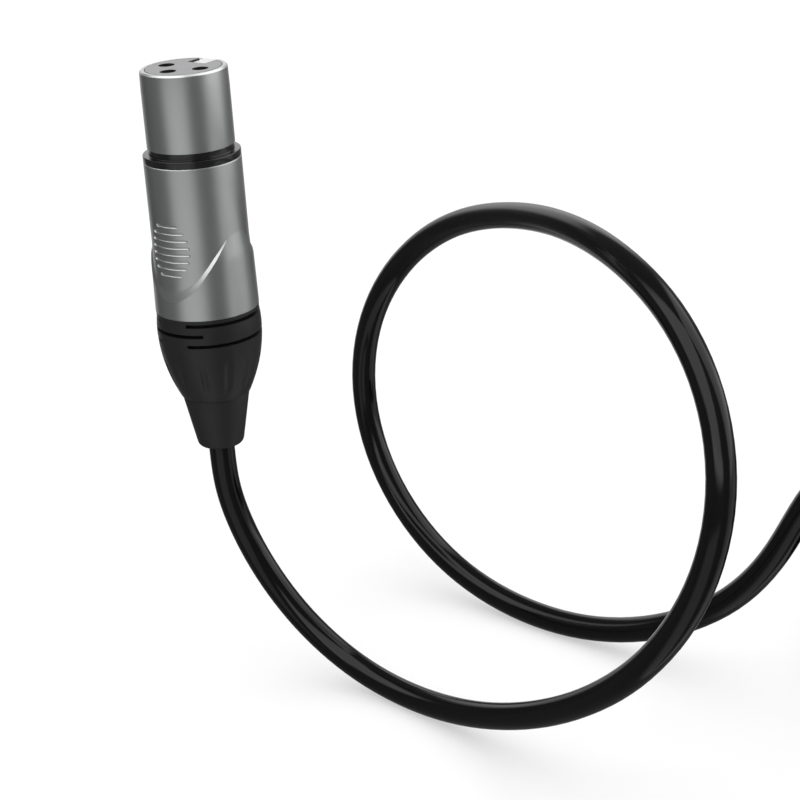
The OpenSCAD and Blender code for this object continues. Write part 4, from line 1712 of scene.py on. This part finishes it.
    def rings(self) -> tuple[list[Vector], list[float]]:
        """Places the round section at each point of the path, without any twist.

        Returns:
            The corners of the rings, in metres, and how far each ring lies along the path, in
            millimetres.
        """
        last = len(self.path) - 1
        side = Vector((1, 0, 0))
        corners: list[Vector] = []
        lengths = [0.0]
        for i, point in enumerate(self.path):
            behind, ahead = self.path[max(i - 1, 0)], self.path[min(i + 1, last)]
            heading = (ahead - behind).normalized()
            side = (side - heading * side.dot(heading)).normalized()
            up = heading.cross(side)
            if i:
                lengths.append(lengths[-1] + (point - behind).length)
            for k in range(self.sides):
                turn = 2 * math.pi * k / self.sides
                offset = side * math.cos(turn) + up * math.sin(turn)
                corners.append((point + offset * (CABLE_D / 2)) * MM)
        return corners, lengths

    def unwrap(self, mesh: bpy.types.Mesh, lengths: Sequence[float]) -> None:
        """Writes the UV map: metres along the cord, and the share of the way round it.

        Args:
            mesh: The cord's mesh, whose faces lie in the order of the rings.
            lengths: How far each ring lies along the cord, in millimetres.
        """
        layer = mesh.uv_layers.new(name="UVMap")
        for polygon in mesh.polygons:
            if len(polygon.vertices) != len(QUAD):
                for loop in polygon.loop_indices:
                    layer.data[loop].uv = (0.0, 0.0)
                continue
            ring, side = divmod(polygon.index, self.sides)
            for loop, (ahead, beside) in zip(polygon.loop_indices, QUAD):
                layer.data[loop].uv = (lengths[ring + ahead] * MM, (side + beside) / self.sides)

    def sweep(self, name: str) -> Piece:
        """Sweeps the round section along the path.

        Args:
            name: The new piece's name.

        Returns:
            The cord, closed at both ends.
        """
        corners, lengths = self.rings()
        n, last = self.sides, len(self.path) - 1
        faces = [
            tuple((ring + ahead) * n + (side + beside) % n for ahead, beside in QUAD)
            for ring in range(last)
            for side in range(n)
        ]
        faces.append(tuple(reversed(range(n))))
        faces.append(tuple(last * n + side for side in range(n)))
        mesh = bpy.data.meshes.new(name)
        mesh.from_pydata([tuple(corner) for corner in corners], [], faces)
        self.unwrap(mesh, lengths)
        piece = bpy.data.objects.new(name, mesh)
        bpy.context.scene.collection.objects.link(piece)
        return piece

    def build(self, with_pieces: Sequence[str]) -> None:
        """Args:
            with_pieces: The names of the pieces on its far end. Not used.
        """
        lead = self.lead()
        coil = self.coil()
        self.path = [*lead, *coil, *self.tail(coil[-1])]
        cord = self.sweep("cable_cord")
        Bench.mend(cord, gap=1e-8)
        Bench.smooth(cord, degrees=60.0)
        self.palette.dress(cord, "cable_jacket")
        length = sum((b - a).length for a, b in zip(self.path, self.path[1:])) * MM
        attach(cord, "cable")
        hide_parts("cord_run", "cord_coil", "cord_tail")
        [tuple(p * MM) for p in self.path]
        LOG.info("cord: %.3f m long, %d faces", length, len(cord.data.polygons))


@dataclass
class CableTie:
    """The hook-and-loop strap round the coil."""

    palette: Palette
    width: float = 12.0
    thick: float = 1.0
    corner: float = 2.5
    rows: int = 8
    edge: float = 0.22
    flap_room: float = 0.9
    flap_inset: float = 0.45
    flap_lean: float = 0.25
    flap_len: float = 16.0
    flap_steps: int = 12

    def loop_line(self) -> list[Point2]:
        """Draws the strap's middle line round the coil.

        Returns:
            The points, as (x, z), in millimetres.
        """
        low, high = (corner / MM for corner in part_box("cable_tie"))
        half = self.thick / 2
        left, right = low.x + half, high.x - self.flap_room - half
        bottom, top = low.z + half, high.z - half
        corners = [(left, bottom), (right, bottom), (right, top), (left, top)]
        return rounded(corners, dict.fromkeys(range(4), self.corner), steps=8)

    def flap_line(self) -> list[Point2]:
        """Draws the middle line of the loose end, which leans in a little.

        Returns:
            The points, as (x, z), in millimetres.
        """
        low, high = (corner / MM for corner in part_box("cable_tie"))
        x, z = high.x - self.flap_inset, (low.z + high.z) / 2 - self.flap_len / 2
        shares = [i / self.flap_steps for i in range(self.flap_steps + 1)]
        return [(x - self.flap_lean * ease(u), z + self.flap_len * u) for u in shares]

    def start_edge(self, name: str, start: Point2) -> Piece:
        """Makes the edge across the strap that the strap is drawn from.

        Args:
            name: The new piece's name.
            start: Where the middle line starts, as (x, z), in millimetres.

        Returns:
            A row of short edges along Y.
        """
        Bench.clear()
        bpy.ops.mesh.primitive_plane_add(size=1.0)
        strap = bpy.context.object
        strap.name = strap.data.name = name
        Bench.edit(strap, Elements.EDGES)
        bpy.ops.mesh.delete(type="ONLY_FACE")
        edit = bmesh.from_edit_mesh(strap.data)
        doomed = [vertex for vertex in edit.verts if vertex.co.x > 0]
        bmesh.ops.delete(edit, geom=doomed, context="VERTS")
        bmesh.update_edit_mesh(strap.data)
        bpy.ops.mesh.select_all(action="SELECT")
        bpy.ops.mesh.subdivide(number_cuts=self.rows - 1)
        bpy.ops.object.mode_set(mode="OBJECT")
        for vertex in strap.data.vertices:
            y = COIL_CENTRE[1] + self.width * vertex.co.y
            vertex.co = Vector((start[0], y, start[1])) * MM
        return strap

    def strip(self, name: str, line: Sequence[Point2]) -> Piece:
        """Extrudes a strap along a line and gives it its thickness and soft edges.

        Args:
            name: The new piece's name.
            line: The middle line, as (x, z), in millimetres; a closed one repeats its start.

        Returns:
            The strap.
        """
        strap = self.start_edge(name, line[0])
        Bench.edit(strap, Elements.EDGES)
        for here, there in zip(line, line[1:]):
            step = (Vector(there) - Vector(here)) * MM
            bpy.ops.mesh.extrude_region_move(
                TRANSFORM_OT_translate={"value": (step.x, 0, step.y)}
            )
        bpy.ops.object.mode_set(mode="OBJECT")
        Bench.mend(strap, gap=1e-6)
        solid = strap.modifiers.new("thick", "SOLIDIFY")
        solid.thickness = self.thick * MM
        solid.offset = 0.0
        soft = strap.modifiers.new("soft_edge", "BEVEL")
        soft.width = self.edge * MM
        soft.segments = 2
        soft.limit_method = "ANGLE"
        soft.angle_limit = math.radians(60)
        Bench.apply(strap)
        Bench.mend(strap)
        return strap

    def unwrap(self, tie: Piece) -> None:
        """Writes the UV map that the weave follows: across the strap, and along it.

        Args:
            tie: The tie.
        """
        layer = tie.data.uv_layers.get("UVMap") or tie.data.uv_layers.new(name="UVMap")
        for loop in tie.data.loops:
            point = tie.data.vertices[loop.vertex_index].co / MM
            across = (point.y - COIL_CENTRE[1]) / self.width + 0.5
            layer.data[loop.index].uv = (across, (point.x + point.z) / self.width)

    def build(self) -> None:
        """Models, dresses and hands over the tie."""
        line = self.loop_line()
        loop = self.strip("tie_loop", [*line, line[0]])
        flap = self.strip("tie_flap", self.flap_line())
        tie = Bench.join("coil_tie", [loop, flap])
        Bench.smooth(tie, degrees=40.0)
        self.unwrap(tie)
        self.palette.dress(tie, "tie_fabric")
        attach(tie, "cable")
        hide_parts("cable_tie")
        LOG.info("%s: %d faces", tie.name, len(tie.data.polygons))


@dataclass
class CarriedNodes:
    """The CAD pieces that keep their shape and only get a finish.

    Each row has the last words of a node's name and its finish. The first row that fits counts.
    """

    palette: Palette
    finishes: tuple[tuple[str, str], ...] = (
        # The socket end's carrier gets the finish with painted shade in its wells, rim and channel.
        ("female_carrier", "carrier_painted_shade"),
        ("carrier", "carrier_plastic"),
        ("ground_strip", "tinned_strip"),
        ("clamp", "clamp_plastic"),
        ("cable_end", "boot_rubber"),
        ("wire_red", "wire_red"),
        ("wire_white", "wire_white"),
        ("drain_wire", "bare_copper"),
        ("shell", "satin_nickel"),
        ("latch_spring", "spring_steel"),
        ("ring", "ring_plastic"),
        ("boot_nut", "boot_plastic"),
        ("boot_sleeve", "boot_rubber"),
        *((f"socket_{number}", "contact_gold") for number in (1, 2, 3)),
        *((f"pin_{number}", "contact_gold") for number in (1, 2, 3)),
        ("latch", "latch_nickel"),
        ("cord_run", "boot_rubber"),
        ("cord_coil", "boot_rubber"),
        ("cord_tail", "boot_rubber"),
        ("cable_tie", "tie_fabric"),
    )

    def build(self) -> None:
        """Dresses every CAD node."""
        for name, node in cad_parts.items():
            finish = next(finish for words, finish in self.finishes if name.endswith(words))
            self.palette.dress(node, finish)
        LOG.info("carried nodes: %d", len(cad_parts))


# ------------------------------------------------------------------ stage


@dataclass(frozen=True)
class Softbox:
    """One card round the object, which only reflections show.

    Its middle and half of its width are turned round the object from the eye's side, in
    degrees, and its sides fade over twice its edge. Its low and high ends are heights of the
    line of sight, from -1 straight down to 1 straight up.
    """

    middle: float
    half: float
    edge: float
    low: float
    high: float
    glow: float
    eye_side: float = -136.8
    fade: float = 0.08

    def light(self, x: Value, y: Value, z: Value, flat: Value) -> Value:
        """Works out the card's light from one direction.

        Args:
            x: The direction's first number.
            y: Its second number.
            z: Its third number, upwards.
            flat: The length of its first two numbers.

        Returns:
            The light, which is 0 beside the card.
        """
        turn = math.radians(self.middle + self.eye_side)
        facing = (x * math.cos(turn) + y * math.sin(turn)) / flat
        outer = math.cos(math.radians(self.half + self.edge))
        inner = math.cos(math.radians(self.half - self.edge))
        above = z.rise(self.low - self.fade, self.low + self.fade)
        past = z.rise(self.high - self.fade, self.high + self.fade)
        return facing.rise(outer, inner) * (above * (1 - past)) * self.glow


@dataclass
class Studio:
    """The white floor, the soft lamps, the surroundings and the camera.

    The eye is the camera's place, in metres, and right, down and ahead are its directions.
    """

    eye: Point3 = (-0.328398, -0.307926, 0.091499)
    right: Point3 = (0.59473, -0.80127, -0.06525)
    down: Point3 = (-0.32081, -0.16212, -0.93317)
    ahead: Point3 = (0.73714, 0.57591, -0.35347)
    lens: float = 96.975
    sensor: float = 36.0
    clip: Point2 = (0.01, 50.0)
    floor_size: float = 12.0
    softboxes: tuple[Softbox, ...] = (
        Softbox(middle=-31, half=28, edge=12, low=-1.2, high=-0.06, glow=0.61),
        Softbox(middle=77, half=24, edge=12, low=-1.2, high=0.12, glow=0.65),
        Softbox(middle=-175, half=27, edge=8, low=-0.5, high=0.14, glow=0.5),
        Softbox(middle=-178, half=25, edge=8, low=0.14, high=0.5, glow=1.0),
        Softbox(middle=-135, half=14, edge=8, low=-0.6, high=0.3, glow=-0.07),
        Softbox(middle=-60, half=56, edge=8, low=0.46, high=1.3, glow=1.85),
        Softbox(middle=-32, half=34, edge=6, low=0.3, high=0.46, glow=2.3),
        Softbox(middle=89, half=31, edge=8, low=0.06, high=0.44, glow=2.0),
        Softbox(middle=101, half=43, edge=8, low=0.44, high=1.3, glow=1.6),
    )
    room_glow: float = 0.17
    room_tint: float = 1.01
    even_light: float = 0.55

    def camera(self) -> None:
        """Makes the camera and makes it the scene's."""
        data = bpy.data.cameras.new("view_camera")
        data.lens = self.lens
        data.sensor_width = self.sensor
        data.clip_start, data.clip_end = self.clip
        camera = bpy.data.objects.new("view_camera", data)
        bpy.context.scene.collection.objects.link(camera)
        columns = [Vector(self.right), -Vector(self.down), -Vector(self.ahead)]
        turned = Matrix([[c[row] for c in columns] for row in range(3)]).to_4x4()
        camera.matrix_world = Matrix.Translation(self.eye) @ turned
        bpy.context.scene.camera = camera

    def floor(self) -> None:
        """Makes the white paper floor, unseen in reflections."""
        Bench.clear()
        bpy.ops.mesh.primitive_plane_add(size=self.floor_size, location=(0, 0, FLOOR_Z * MM))
        paper = bpy.context.object
        paper.name = "studio_floor"
        paper.data.materials.append(Paper().build())
        paper.visible_glossy = False

    def lamp(self, name: str, place: Point3, aim: Point3, size: float, power: float) -> None:
        """Hangs one square soft lamp.

        Args:
            name: The lamp's name.
            place: Where it hangs, in metres.
            aim: The point that it faces.
            size: Its side, in metres.
            power: Its power, in watts.
        """
        data = bpy.data.lights.new(name, "AREA")
        data.shape = "SQUARE"
        data.size = size
        data.energy = power
        lamp = bpy.data.objects.new(name, data)
        bpy.context.scene.collection.objects.link(lamp)
        lamp.location = place
        lamp.rotation_mode = "QUATERNION"
        lamp.rotation_quaternion = (Vector(place) - Vector(aim)).to_track_quat("Z", "Y")
        lamp.visible_glossy = False

    def surroundings(self) -> None:
        """Makes the world: white to the camera, softboxes in reflections, even light elsewhere."""
        world = bpy.data.worlds.new("studio")
        bpy.context.scene.world = world
        world.use_nodes = True
        tree = NodeTree(world.node_tree)
        where = tree.add("ShaderNodeTexCoord")
        x, y, z = tree.split(where.outputs["Generated"])
        flat = (x * x + y * y).at_least(1e-6).power(0.5)
        first, *others = (box.light(x, y, z, flat) for box in self.softboxes)
        glow = sum(others, first) + self.room_glow
        parts = {0: glow, 1: glow, 2: glow * self.room_tint}
        grey = tree.add("ShaderNodeCombineColor", values=parts)
        mirror, even, white = (
            tree.add("ShaderNodeBackground", values={"Color": colour, "Strength": strength})
            for colour, strength in ((grey.outputs[0], 1.0), (WHITE, self.even_light), (WHITE, 1.0))
        )
        ray = tree.add("ShaderNodeLightPath")
        unseen = tree.mix(ray.outputs["Is Glossy Ray"], even, mirror)
        both = tree.mix(ray.outputs["Is Camera Ray"], unseen, white)
        tree.add("ShaderNodeOutputWorld", values={"Surface": both.outputs[0]})

    def light(self) -> None:
        """Makes the surroundings, the floor and the lamps."""
        self.surroundings()
        self.floor()
        high, aside = (0.25, 0.05, 1.6), (-1.2, -1.2, 0.8)
        self.lamp("key_softbox", high, aim=(0.03, -0.08, -0.14), size=3.0, power=36.0)
        self.lamp("fill_softbox", aside, aim=(0.03, -0.08, -0.08), size=1.6, power=5.0)


def main() -> None:
    """Builds the whole scene in order and reports each piece."""
    logging.basicConfig(level=logging.INFO, format="%(relativeCreated)d ms %(name)s: %(message)s")
    palette = Palette()
    studio = Studio()
    studio.camera()
    far_nodes = [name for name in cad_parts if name.startswith(("male_", "pin_"))]
    Cable(palette).build(far_nodes)
    CarriedNodes(palette).build()
    for plug in Plug:
        Shell(plug, palette).build()
        ColourRing(plug, palette).build()
        BootNut(plug, palette).build()
        BootSleeve(plug, palette).build()
    CableTie(palette).build()
    studio.light()
    bpy.context.scene.view_settings.view_transform = "Standard"


if __name__ == "__main__":
    main()
